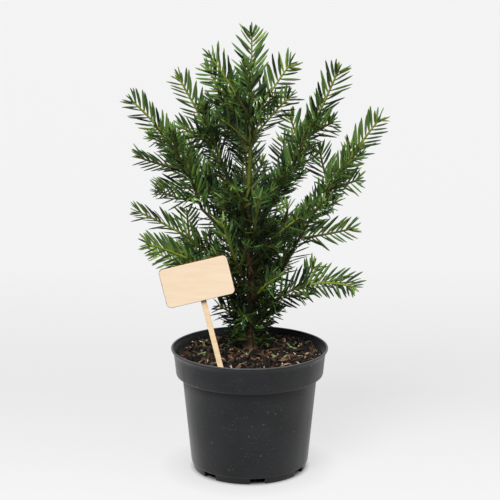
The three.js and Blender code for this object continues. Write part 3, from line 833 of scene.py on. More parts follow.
@dataclass
class PottingBark:
    """The soil: a low mound of crumbs under a litter of bark chips and fallen needles."""

    crown: float = 132.2
    edge: float = 126.2
    edge_radius: float = 79.6
    level_radius: float = 13.0
    skirt_depth: float = 12.0
    spokes: int = 96
    rings: int = 34
    chips: int = 1500
    shapes: int = 7
    seed: int = 12

    def height(self, x: float, y: float) -> float:
        """Works out the mound's height over a place.

        Args:
            x: The place's x in mm.
            y: Its y in mm.

        Returns:
            The height in mm.
        """
        share = clamp((self.edge_radius - math.hypot(x, y)) / (self.edge_radius - self.level_radius))
        lump = math.sin(0.31 * x + 1) * math.cos(0.37 * y) + 0.6 * math.sin(0.8 * x - 0.7 * y)
        return lerp(self.edge, self.crown, 1 - (1 - share) ** 2) + 1.1 * (lump / 1.6 - 0.4)

    def build(self) -> bpy.types.Object:
        """Returns the mound, with the litter as a piece of its own."""
        self.build_litter()
        return self.build_mound()

    def build_mound(self) -> bpy.types.Object:
        """Builds the mound of crumbs: a disc of rings with a skirt down the pot's wall.

        Returns:
            The mound as a finished piece.
        """
        bm = bmesh.new()
        bmesh.ops.create_circle(bm, cap_ends=False, radius=self.edge_radius, segments=self.spokes)
        rim = list(bm.edges)
        skirt = bmesh.ops.extrude_edge_only(bm, edges=rim)["geom"]
        bmesh.ops.translate(bm, verts=verts_of(skirt), vec=(0, 0, -self.skirt_depth))
        front = rim
        for ring in range(1, self.rings):
            grown = bmesh.ops.extrude_edge_only(bm, edges=front)["geom"]
            verts = verts_of(grown)
            front = [item for item in grown if isinstance(item, bmesh.types.BMEdge)]
            front = [edge for edge in front if all(vert in verts for vert in edge.verts)]
            share = (self.rings - ring) / (self.rings - ring + 1)
            bmesh.ops.scale(bm, verts=verts, vec=(share, share, 1.0))
        bmesh.ops.edgenet_fill(bm, edges=front)
        for vert in bm.verts:
            low = vert.co.z < -1.0
            crumb = noise.fractal(vert.co * 0.35, 0.6, 2.2, 4)
            top = self.height(vert.co.x, vert.co.y) + 0.9 * crumb - 0.5
            vert.co.z = self.edge - self.skirt_depth if low else top
        bmesh.ops.scale(bm, verts=bm.verts, vec=(MM, MM, MM))
        mesh = mesh_from(bm, "potting_soil")
        return piece_from(mesh, "potting_soil", [Crumb().material()], ["soil"], smooth=False)

    def shard(self, number: int) -> Template:
        """Makes a rough shard, the hull of a few seeded points.

        Args:
            number: The shard's seed.

        Returns:
            The shard, about one unit long.
        """
        bm = bmesh.new()
        points = 9
        for i in range(points):
            draw = number * 53 + i * 5
            across = math.tau * (i + 0.6 * chance(draw)) / points
            reach = 0.72 + 0.28 * chance(draw + 1)
            x, y = 0.5 * reach * math.cos(across), 0.17 * reach * math.sin(across)
            bm.verts.new((x, y, 0.5 * jitter(draw + 2)))
        hull = bmesh.ops.convex_hull(bm, input=bm.verts)
        inner = set(verts_of(hull["geom_interior"]))
        bmesh.ops.delete(bm, geom=list(inner), context="VERTS")
        return Template.of(bm)

    def build_litter(self) -> bpy.types.Object:
        """Builds the chips, splinters and grit that lie on the mound.

        Returns:
            All of them as one piece.
        """
        rng = np.random.default_rng(self.seed)
        swarm = Swarm("bark_litter")
        kinds = list(Chip)
        for tint, kind in enumerate(kinds):
            _, share, lengths, thick, wide = kind.value
            total = int(self.chips * share)
            for number in range(self.shapes):
                count = len(range(number, total, self.shapes))
                template = self.shard(number)
                swarm.add(template, self.scatter(rng, template, count, lengths, thick, wide), tint)
        finishes = [kind.value[0].material() for kind in kinds]
        return piece_from(swarm.mesh(), "bark_litter", finishes, smooth=False)

    def scatter(
        self,
        rng: np.random.Generator,
        template: Template,
        count: int,
        lengths: tuple[float, float],
        thick: float,
        wide: float,
    ) -> np.ndarray:
        """Lays copies of a shard on the mound.

        Args:
            rng: The source of chance.
            template: The shard.
            count: How many copies.
            lengths: The shortest and longest copy in mm.
            thick: The thickness as a share of the length.
            wide: The width as a share of the shard's own.

        Returns:
            The vertices of each copy in mm.
        """
        placed = np.empty((count, len(template.places), 3))
        for i in range(count):
            length = lerp(*lengths, rng.random() ** 1.5)
            reach = self.edge_radius - 0.42 * length - 0.3
            radius = reach * math.sqrt(lerp(0.004, 1.0, rng.random()))
            angle = math.tau * rng.random()
            x, y = radius * math.cos(angle), radius * math.sin(angle)
            turn = Matrix.Rotation(math.tau * rng.random(), 3, "Z")
            turn = turn @ Matrix.Rotation(math.radians(rng.normal(0.0, 26.0)), 3, "Y")
            turn = turn @ Matrix.Rotation(math.radians(rng.normal(0.0, 40.0)), 3, "X")
            width = length * wide * rng.uniform(0.6, 1.1)
            scaled = template.places * (length, width, length * thick * rng.uniform(0.7, 1.3))
            # narrow bits lie on top of the rest
            lift = rng.uniform(-0.3, 1.0) * thick * length * 0.5 + 0.2 + 2.6 * max(0.0, 0.7 - wide)
            placed[i] = scaled @ np.array(turn).T + (x, y, self.height(x, y) + lift)
        return placed


# ------------------------------------------------------------------------------------------ plant label


@dataclass
class PlantLabel:
    """A small board of pale plywood with a scorched rim, on a stick that stands in the soil."""

    place: Span = (-29.7, -64.2, 129.0)
    lean: float = 13.6
    stick_width: float = 5.6
    stick_thickness: float = 2.0
    stick_depth: float = 22.0
    stick_height: float = 106.0
    point_height: float = 7.0
    board_width: float = 72.0
    board_height: float = 42.0
    board_thickness: float = 3.0
    board_corner: float = 5.0
    board_middle: float = 97.0
    board_offset: float = -1.5
    board_rounding: float = 0.45
    stick_rounding: float = 0.3
    gap: float = 0.3

    def turn(self) -> Matrix:
        """Returns the frame of the label in metres: its origin is at the soil and +Z runs up the stick."""
        spot = Matrix.Translation(Vector(self.place) * MM)
        return spot @ Matrix.Rotation(math.radians(-self.lean), 4, "Y") @ Matrix.Scale(MM, 4)

    def build(self) -> None:
        """Builds the board and the stick."""
        self.build_board()
        self.build_stick()

    def build_board(self) -> bpy.types.Object:
        """Builds the board, with a scorched rim.

        Returns:
            The board as a finished piece.
        """
        bm = bmesh.new()
        bmesh.ops.create_cube(bm, size=1.0)
        size = (self.board_width, self.board_thickness, self.board_height)
        bmesh.ops.scale(bm, verts=bm.verts, vec=size)
        through = [e for e in bm.edges if abs(e.verts[0].co.y - e.verts[1].co.y) > 1.0]
        self.bevel(bm, through, self.board_corner, 8)
        broad = [face for face in bm.faces if abs(face.normal.y) > 0.9]
        rim = [edge for face in broad for edge in face.edges]
        self.bevel(bm, rim, self.board_rounding, 2)
        for face in bm.faces:
            face.material_index = 1 if abs(face.normal.y) < 0.95 else 0
        middle_y = -(self.stick_thickness + self.board_thickness) / 2 - self.gap
        bmesh.ops.translate(bm, verts=bm.verts, vec=(self.board_offset, middle_y, self.board_middle))
        bmesh.ops.transform(bm, matrix=self.turn(), verts=bm.verts)
        wood = PaleWood("birch_plywood", (0.97, 0.775, 0.565), (0.9, 0.68, 0.45), self.lean, 7.0)
        scorch = PlainFinish("scorched_rim", (0.09, 0.034, 0.013), 0.8, 0.2)
        finishes = [wood.material(), scorch.material()]
        mesh = mesh_from(bm, "label_plate", recalculate=False)
        return piece_from(mesh, "label_plate", finishes, ["label_board"], smooth=False)

    def bevel(
        self,
        bm: bmesh.types.BMesh,
        edges: list[bmesh.types.BMEdge],
        width: float,
        segments: int,
    ) -> None:
        """Rounds edges with a true arc.

        Args:
            bm: The shape.
            edges: The edges, some of which may come twice.
            width: How far from the edge the arc starts, in mm.
            segments: How many steps it has.
        """
        bmesh.ops.bevel(
            bm,
            geom=list(set(edges)),
            offset=width,
            offset_type="OFFSET",
            segments=segments,
            profile=0.5,
            affect="EDGES",
            material=-1,
        )

    def build_stick(self) -> bpy.types.Object:
        """Builds the stick, pointed at its lower end.

        Returns:
            The stick as a finished piece.
        """
        bm = bmesh.new()
        bmesh.ops.create_cube(bm, size=1.0)
        length = self.stick_height + self.stick_depth
        bmesh.ops.scale(bm, verts=bm.verts, vec=(self.stick_width, self.stick_thickness, length))
        bmesh.ops.translate(bm, verts=bm.verts, vec=(0, 0, (self.stick_height - self.stick_depth) / 2))
        plane = (0.0, 0.0, self.point_height - self.stick_depth)
        whole = bm.verts[:] + bm.edges[:] + bm.faces[:]
        bmesh.ops.bisect_plane(bm, geom=whole, plane_co=plane, plane_no=(0, 0, 1))
        for vert in bm.verts:
            if vert.co.z < plane[2] - 1.0:
                vert.co.x *= 0.12
        arrises = [edge for edge in bm.edges if edge.calc_length() > 20.0]
        self.bevel(bm, arrises, self.stick_rounding, 2)
        bmesh.ops.transform(bm, matrix=self.turn(), verts=bm.verts)
        wood = PaleWood("sanded_softwood", (0.95, 0.74, 0.48), (0.8, 0.56, 0.3), self.lean + 90.0, 7.0)
        finishes = [wood.material()]
        mesh = mesh_from(bm, "label_stake")
        return piece_from(mesh, "label_stake", finishes, ["label_stick"], smooth=False)

    def holds(self, points: np.ndarray, margin: float) -> np.ndarray:
        """Tells which points lie in the board or the stick.

        Args:
            points: The points in mm.
            margin: How far both are grown first, in mm.

        Returns:
            True for each point inside.
        """
        local = (points - np.array(self.place)) @ np.array(Matrix.Rotation(math.radians(-self.lean), 3, "Y"))
        x, y, z = local.T
        on_board = (
            (np.abs(x - self.board_offset) < self.board_width / 2 + margin)
            & (np.abs(y + self.stick_thickness) < 2 * self.stick_thickness + margin)
            & (np.abs(z - self.board_middle) < self.board_height / 2 + margin)
        )
        on_stick = (
            (np.abs(x) < self.stick_width / 2 + margin)
            & (np.abs(y) < self.stick_thickness / 2 + margin)
            & (z < self.board_middle)
        )
        return on_board | on_stick


# ------------------------------------------------------------------------------------------ growth


@dataclass(frozen=True)
class SideShoot:
    """A side shoot of a spray: where it leaves it in mm, its turn from it, its rises and its length."""

    at: float
    turn: float
    rise: tuple[float, float]
    length: float


@dataclass(frozen=True)
class Bough:
    """A bough: its height on the trunk and azimuth, its bare limb, and the spray that grows on from it.

    Limb and spray are each a length in mm and the rises at foot and tip. The spray turns from the limb by
    the turn, its needles stand out of its flat by the spread and from its stem by the lean, and its flat is
    rolled about the stem; spread and roll follow the crown's own rule where they are None.
    """

    name: str
    foot: float
    azimuth: float
    spray: Span
    limb: Span | None = None
    turn: float = 0.0
    spread: float | None = None
    shoots: tuple[SideShoot, ...] = ()
    lean: float = 48.0
    roll: float | None = None


class Zone(Enum):
    """The parts of the crown that are joined apart."""

    CROWN = "crown"
    LEFT = "left"
    RIGHT = "right"
    FRONT = "front"
    BACK = "back"

    @classmethod
    def of(cls, name: str) -> Zone:
        """Finds the zone that a bough's name puts it in.

        Args:
            name: The bough's name.

        Returns:
            Its zone.
        """
        if name == "leader" or name.startswith("crown"):
            return cls.CROWN
        if name.startswith("back") or name == "foot_back":
            return cls.BACK
        if "front" in name:
            return cls.FRONT
        return cls.LEFT if name.endswith("left") else cls.RIGHT


BOUGHS: tuple[Bough, ...] = (
    Bough("leader", 382, 90, (89, 90, 90), spread=50),
    Bough("crown_left", 377, 165, (82, 64, 50)),
    Bough("crown_back_left", 366, 136, (92, 40, 50)),
    Bough("crown_right", 376, 14, (75, 60, 52), lean=56.0, roll=-84.0),
    Bough("crown_front_right", 356, 340, (67, 57, 42)),
    Bough("crown_front_left", 352, 238, (64, 40, 24)),
    Bough("crown_back", 343, 112, (104, 34, 58)),
    Bough(
        "upper_left",
        279,
        190,
        (136, 69, 60),
        (26, 58, 60),
        turn=-7,
        shoots=(SideShoot(52, 8, (40, 28), 44), SideShoot(62, 60, (30, 10), 30)),
    ),
    Bough("front_left", 270, 258, (80, 40, 22), (20, 44, 42)),
    Bough(
        "mid_left",
        236,
        195,
        (138, 74, 42),
        (74, 44, 46),
        turn=-5,
        shoots=(
            SideShoot(46, 0, (8, 24), 51),
            SideShoot(8, 14, (10, 26), 48),
            SideShoot(12, 70, (22, 0), 36),
            SideShoot(24, 7, (0, 10), 36),
        ),
    ),
    Bough("low_left", 195, 190, (115, 44, 24), (38, 48, 46), shoots=(SideShoot(52, -18, (82, 88), 30),)),
    Bough("bottom_left", 183, 201, (108, 42, 18), (30, 42, 40), shoots=(SideShoot(40, -60, (30, 10), 30),)),
    Bough("front_low_left", 199, 242, (79, 48, 64), (24, 42, 44)),
    Bough(
        "upper_right",
        259,
        345,
        (170, 60, 67),
        (30, 52, 50),
        shoots=(SideShoot(92, -20, (36, 26), 37), SideShoot(80, 150, (58, 66), 36)),
    ),
    Bough(
        "mid_right",
        186,
        352,
        (194, 64, 53),
        (46, 46, 44),
        shoots=(
            SideShoot(42, -14, (10, 18), 60),
            SideShoot(106, -16, (12, 24), 33),
            SideShoot(104, 140, (64, 74), 43),
        ),
    ),
    Bough("front_right", 228, 315, (72, 40, 34), (22, 48, 44), shoots=(SideShoot(46, 62, (80, 88), 24),)),
    Bough(
        "low_right",
        160,
        350,
        (102, 47, -16),
        (26, 50, 45),
        shoots=(SideShoot(46, 8, (54, 70), 26), SideShoot(66, 12, (10, -26), 32)),
        lean=62,
        roll=-84,
    ),
    Bough("front", 232, 277, (86, 44, 54), (18, 46, 44)),
    Bough("front_low_right", 181, 294, (60, 38, 24), (18, 46, 42)),
    Bough("foot_left", 155, 200, (46, 46, 30)),
    Bough("foot_front", 160, 262, (56, 30, 16)),
    Bough("base_left", 142, 214, (20, 14, 4)),
    Bough("base_right", 142, 328, (20, 14, 4)),
    Bough("back_high", 312, 98, (100, 50, 54), (22, 46, 48), shoots=(SideShoot(38, 40, (40, 40), 46),)),
    Bough(
        "back_right",
        240,
        54,
        (126, 50, 50),
        (26, 46, 48),
        shoots=(SideShoot(72, 36, (52, 56), 44),),
    ),
    Bough(
        "back_mid",
        218,
        95,
        (132, 44, 46),
        (28, 42, 43),
        shoots=(SideShoot(48, 42, (26, 30), 56), SideShoot(72, -38, (40, 44), 50)),
    ),
    Bough(
        "back_left",
        251,
        146,
        (122, 46, 42),
        (26, 46, 45),
        shoots=(SideShoot(48, 32, (30, 30), 48), SideShoot(72, -36, (50, 50), 46)),
    ),
    Bough("back_low_right", 200, 52, (90, 38, 24), (26, 42, 38), shoots=(SideShoot(40, 32, (20, 16), 46),)),
    Bough("back_low_left", 172, 156, (106, 33, 14), (24, 38, 33), shoots=(SideShoot(44, -36, (26, 14), 52),)),
    Bough("back_low", 167, 80, (102, 33, 12), (24, 38, 33), shoots=(SideShoot(42, 32, (24, 12), 48),)),
    Bough("foot_back", 150, 66, (52, 32, 22)),
)


@dataclass(frozen=True)
class SkyGap:
    """An upright oval opening that is seen right through the crown, which twigs keep clear of, in mm."""

    x: float
    z: float
    half_width: float
    half_height: float

    def holds(self, points: np.ndarray) -> np.ndarray:
        """Tells which points lie in the opening, however near or far.

        Args:
            points: The points in mm.

        Returns:
            True for each point inside.
        """
        across = (points[:, 0] - self.x) / self.half_width
        up = (points[:, 2] - self.z) / self.half_height
        return across**2 + up**2 < 1


SKY_GAPS = (
    SkyGap(23, 350, 17, 26),
    SkyGap(58, 238, 15, 22),
    SkyGap(-82, 262, 16, 8),
    SkyGap(-34, 182, 15, 14),
)


class StemPath:
    """A stem's centre line: it leaves its start along an azimuth, and its rise changes evenly to its tip."""

    def __init__(self, start: np.ndarray, azimuth: float, span: Span, step: float) -> None:
        """Lays the line.

        Args:
            start: Its first point in mm.
            azimuth: The direction that it grows in.
            span: Its length in mm and its rises at foot and tip.
            step: The length of a straight piece in mm.
        """
        self.azimuth = azimuth
        self.length, self.foot_rise, self.tip_rise = span
        self.steps = max(2, round(self.length / step))
        points = [np.array(start, float)]
        for i in range(self.steps):
            points.append(points[-1] + self.along((i + 0.5) / self.steps) * self.length / self.steps)
        self.points = np.array(points)

    def rise(self, share: float) -> float:
        """Returns the rise at a share of the length."""
        return lerp(self.foot_rise, self.tip_rise, share)

    def along(self, share: float) -> np.ndarray:
        """Returns the direction of growth at a share of the length."""
        return heading(self.azimuth, self.rise(share))

    def point(self, share: float) -> np.ndarray:
        """Finds a point of the line.

        Args:
            share: How far along the line it is, from 0 to 1.

        Returns:
            The point in mm.
        """
        place = clamp(share) * self.steps
        i = min(int(place), self.steps - 1)
        return lerp(self.points[i], self.points[i + 1], place - i)

    def axes(self, share: float, roll: float = 0.0) -> tuple[np.ndarray, np.ndarray, np.ndarray]:
        """Works out the axes of the fan at a point of the line.

        Args:
            share: How far along the line it is, from 0 to 1.
            roll: How far the fan is rolled about the stem, in degrees.

        Returns:
            The axes across the fan, along the stem and out of the fan's upper face.
        """
        along = self.along(share)
        level = heading(self.azimuth - 90.0, 0.0)
        turn = math.radians(roll)
        across = level * math.cos(turn) + np.cross(along, level) * math.sin(turn)
        return across, along, np.cross(across, along)


@dataclass
class Stems:
    """All the stems as short straight rods, so that others can keep clear of them."""

    starts: list[np.ndarray] = field(default_factory=list)
    ends: list[np.ndarray] = field(default_factory=list)
    radii: list[float] = field(default_factory=list)
    owners: list[str] = field(default_factory=list)

    def add(self, owner: str, path: StemPath, radius_at: Callable[[float], float]) -> None:
        """Adds the rods of one stem.

        Args:
            owner: The stem's name.
            path: Its line.
            radius_at: Gives its radius in mm at a share of its length.
        """
        pieces = max(2, round(path.length / 8.0))
        for i in range(pieces):
            self.add_rod(owner, path.point(i / pieces), path.point((i + 1) / pieces), radius_at(i / pieces))

    def add_rod(self, owner: str, start: np.ndarray, end: np.ndarray, radius: float) -> None:
        """Adds one rod.

        Args:
            owner: The name of its stem.
            start: Its first end in mm.
            end: Its other end in mm.
            radius: Its radius in mm.
        """
        self.starts.append(start)
        self.ends.append(end)
        self.radii.append(radius)
        self.owners.append(owner)

    def air(self, points: np.ndarray, owners: set[str]) -> np.ndarray:
        """Measures the air between points and the stems.

        Args:
            points: The points in mm.
            owners: The stems that are left out.

        Returns:
            The air in mm from each point to the nearest stem, below 0 inside one.
        """
        keep = [i for i, owner in enumerate(self.owners) if owner not in owners]
        starts = np.array(self.starts)[keep]
        runs = np.array(self.ends)[keep] - starts
        offsets = points[:, None] - starts[None]
        shares = np.clip((offsets * runs).sum(-1) / (runs * runs).sum(-1), 0, 1)
        gaps = np.linalg.norm(offsets - shares[..., None] * runs, axis=-1) - np.array(self.radii)[keep]
        return gaps.min(axis=1)


@dataclass
class Shoot:
    """One stem that bears needles."""

    name: str
    zone: Zone
    path: StemPath
    seed: int
    base_radius: float
    roll: float
    spread: float
    parent: str = ""
    order: int = 0
    bare: float = 0.0
    tip_radius: float = 1.0
    small: bool = False
    drawn: bool = True
    goes_on: bool = False
    spacing: float = 2.7
    lean: float = 48.0

    def radius(self, share: float) -> float:
        """Returns the stem's radius in mm at a share of its length."""
        return lerp(self.base_radius, self.tip_radius, share)


# ------------------------------------------------------------------------------------------ trunk and limbs


@dataclass
class Trunk:
    """The trunk, from its flared foot to its tip, with the bark's relief and a collar under each bough."""

    foot: float = 132.5
    top: float = 382.0
    base_radius: float = 4.3
    tip_radius: float = 1.6
    flare_radius: float = 3.2
    flare_height: float = 8.0
    flare_lobes: int = 4
    sway_x: float = 1.6
    sway_y: float = 0.8
    lean_x: float = 0.6
    sides: int = 40
    rings: int = 230

    def share(self, height: float) -> float:
        """Returns how far up the trunk a height is."""
        return (height - self.foot) / (self.top - self.foot)

    def point(self, height: float) -> np.ndarray:
        """Finds the middle of the trunk at a height.

        Args:
            height: The height in mm.

        Returns:
            The point in mm.
        """
        t = self.share(height)
        x = self.sway_x * math.sin(2.4 * math.pi * t) + self.lean_x * t
        return np.array((x, self.sway_y * math.sin(1.7 * math.pi * t), height))

    def radius(self, height: float, angle: float = 0.0) -> float:
        """Works out the trunk's radius at a place.

        Args:
            height: The height in mm.
            angle: The angle round the trunk in radians.

        Returns:
            The radius in mm.
        """
        flare = self.flare_radius * math.exp(-(height - self.foot) / self.flare_height)
        lobes = 1 + 0.35 * math.cos(self.flare_lobes * angle)
        return lerp(self.base_radius, self.tip_radius, self.share(height)) + flare * lobes

    def collar(self, height: float, angle: float) -> float:
        """Works out how much the trunk swells at a place for the boughs that leave it there.

        Args:
            height: The height in mm.
            angle: The angle round the trunk in radians.

        Returns:
            The swelling in mm.
        """
        swell = 0.0
        for bough in BOUGHS[1:]:
            facing = max(0.0, math.cos(angle - math.radians(bough.azimuth)))
            swell += 0.9 * facing**3 * math.exp(-(((height - bough.foot - 2.0) / 4.0) ** 2))
        return min(swell, 1.1) * lerp(1.0, 0.5, self.share(height))

    def build(self) -> bpy.types.Object:
        """Builds the trunk.

        Returns:
            The trunk as a finished piece.
        """
        bm = column(self.sides, self.rings - 1)
        for vert in bm.verts:
            share = clamp(vert.co.z + 0.5)
            height = lerp(self.foot, self.top + 1.0, share)
            angle = math.atan2(vert.co.y, vert.co.x)
            radius = self.radius(height, angle) + self.collar(height, angle)
            ridges = noise.noise((2.2 * math.cos(angle), 2.2 * math.sin(angle), height * 0.07))
            flakes = noise.fractal((5 * math.cos(angle), 5 * math.sin(angle), height * 0.4), 0.7, 2.1, 3)
            relief = (0.36 * ridges + 0.3 * flakes) * lerp(1.0, 0.35, share)
            middle = self.point(min(height, self.top))
            reach = radius + relief
            vert.co = (middle[0] + reach * math.cos(angle), middle[1] + reach * math.sin(angle), height)
        bmesh.ops.scale(bm, verts=bm.verts, vec=(MM, MM, MM))
        old, flake, young = (0.04, 0.023, 0.012), (0.27, 0.16, 0.078), (0.1, 0.125, 0.009)
        bark = Bark("trunk_bark", old, flake, young, green_from=0.285, green_to=0.31)
        mesh = mesh_from(bm, "trunk_wood")
        return piece_from(mesh, "trunk_wood", [bark.material()], ["trunk"])


@dataclass
class Limbs:
    """The bare limbs between the trunk and the sprays."""

    trunk: Trunk
    stems: Stems
    base_share: float = 0.62
    tip_radius: float = 1.5
    step: float = 14.0
    sides: int = 16
    rings: int = 44

    def path(self, bough: Bough) -> StemPath | None:
        """Lays the line of a bough's bare limb.

        Args:
            bough: The bough.

        Returns:
            The line, or None where the bough has no limb.
        """
        if bough.limb is None:
            return None
        return StemPath(self.trunk.point(bough.foot), bough.azimuth, bough.limb, self.step)

    def base_radius(self, bough: Bough) -> float:
        """Returns the limb's radius at the trunk in mm."""
        return self.base_share * self.trunk.radius(bough.foot)

    def build(self) -> bpy.types.Object:
        """Builds all the limbs with the bark's relief, and counts them among the stems.

        Returns:
            The limbs as one piece.
        """
        template = Template.of(column(self.sides, self.rings - 1))
        swarm = Swarm("bough_wood")
        nodes = []
        for bough in BOUGHS:
            path = self.path(bough)
            if path is None:
                continue
            base = self.base_radius(bough)
            name = "bough_" + bough.name
            self.stems.add(name, path, partial(lerp, base, self.tip_radius))
            swarm.add(template, self.warp(template, path, base, bough.azimuth)[None])
            nodes.append(name)
        old, flake, young = (0.045, 0.034, 0.012), (0.13, 0.095, 0.03), (0.085, 0.105, 0.016)
        bark = Bark("bough_bark", old, flake, young, green_from=0.2, green_to=0.32)
        return piece_from(swarm.mesh(), "bough_wood", [bark.material()], nodes)

    def warp(self, template: Template, path: StemPath, base: float, seed: float) -> np.ndarray:
        """Bends a column along a path, with ridges.

        Args:
            template: The unit column.
            path: The limb's line.
            base: The limb's radius at the trunk in mm.
            seed: Where its ridges are read.

        Returns:
            The column's vertices in mm.
        """
        placed = np.empty_like(template.places)
        for i, (x, y, z) in enumerate(template.places):
            share = clamp(z + 0.5)
            across, _, face = path.axes(share)
            rough = 0.16 * noise.noise((2.0 * x + seed, 2.0 * y, share * path.length * 0.3))
            swell = 0.7 * math.exp(-share * path.length / 5.0)
            reach = lerp(base, self.tip_radius, share) + rough + swell
            placed[i] = path.point(share) + (x * across - y * face) * reach
        return placed


# ------------------------------------------------------------------------------------------ foliage


class Leaf(Enum):
    """The tints of the needles, from old and darkened by painted shade to fresh: the colours of upper side
    and underside.
    """

    DEEP = ((0.005, 0.017, 0.004), (0.008, 0.021, 0.005))
    DARK = ((0.031, 0.088, 0.016), (0.043, 0.096, 0.022))
    MIDDLE = ((0.077, 0.184, 0.029), (0.094, 0.190, 0.038))
    LIGHT = ((0.136, 0.262, 0.042), (0.152, 0.266, 0.056))
    FRESH = ((0.240, 0.340, 0.046), (0.248, 0.335, 0.060))

    def finishes(self) -> list[PlainFinish]:
        """Makes the finishes of the tint.

        Returns:
            The finishes of the upper side, the underside, the yellow-green stalk and the blade's base.
        """
        upper, under = self.value
        stalk = tuple(0.45 * low + 0.55 * high for low, high in zip(upper, (0.2, 0.22, 0.025)))
        base = tuple(0.5 * low + 0.5 * high for low, high in zip(upper, stalk))
        name = self.name.lower()
        return [
            PlainFinish("leaf_" + name, upper, 0.42, 0.25 if self is Leaf.DEEP else 0.5),
            PlainFinish("leaf_under_" + name, under, 0.6, 0.2),
            PlainFinish("leaf_stalk_" + name, stalk, 0.6, 0.2),
            PlainFinish("leaf_base_" + name, base, 0.5, 0.4),
        ]


class Wood(Enum):
    """The tints of the needle-bearing stems, from old to young."""

    OLD = PlainFinish("stem_old", (0.034, 0.032, 0.01), 0.75, 0.2)
    OLIVE = PlainFinish("stem_olive", (0.085, 0.095, 0.015), 0.7, 0.2)
    GREEN = PlainFinish("stem_green", (0.19, 0.25, 0.022), 0.65, 0.2)


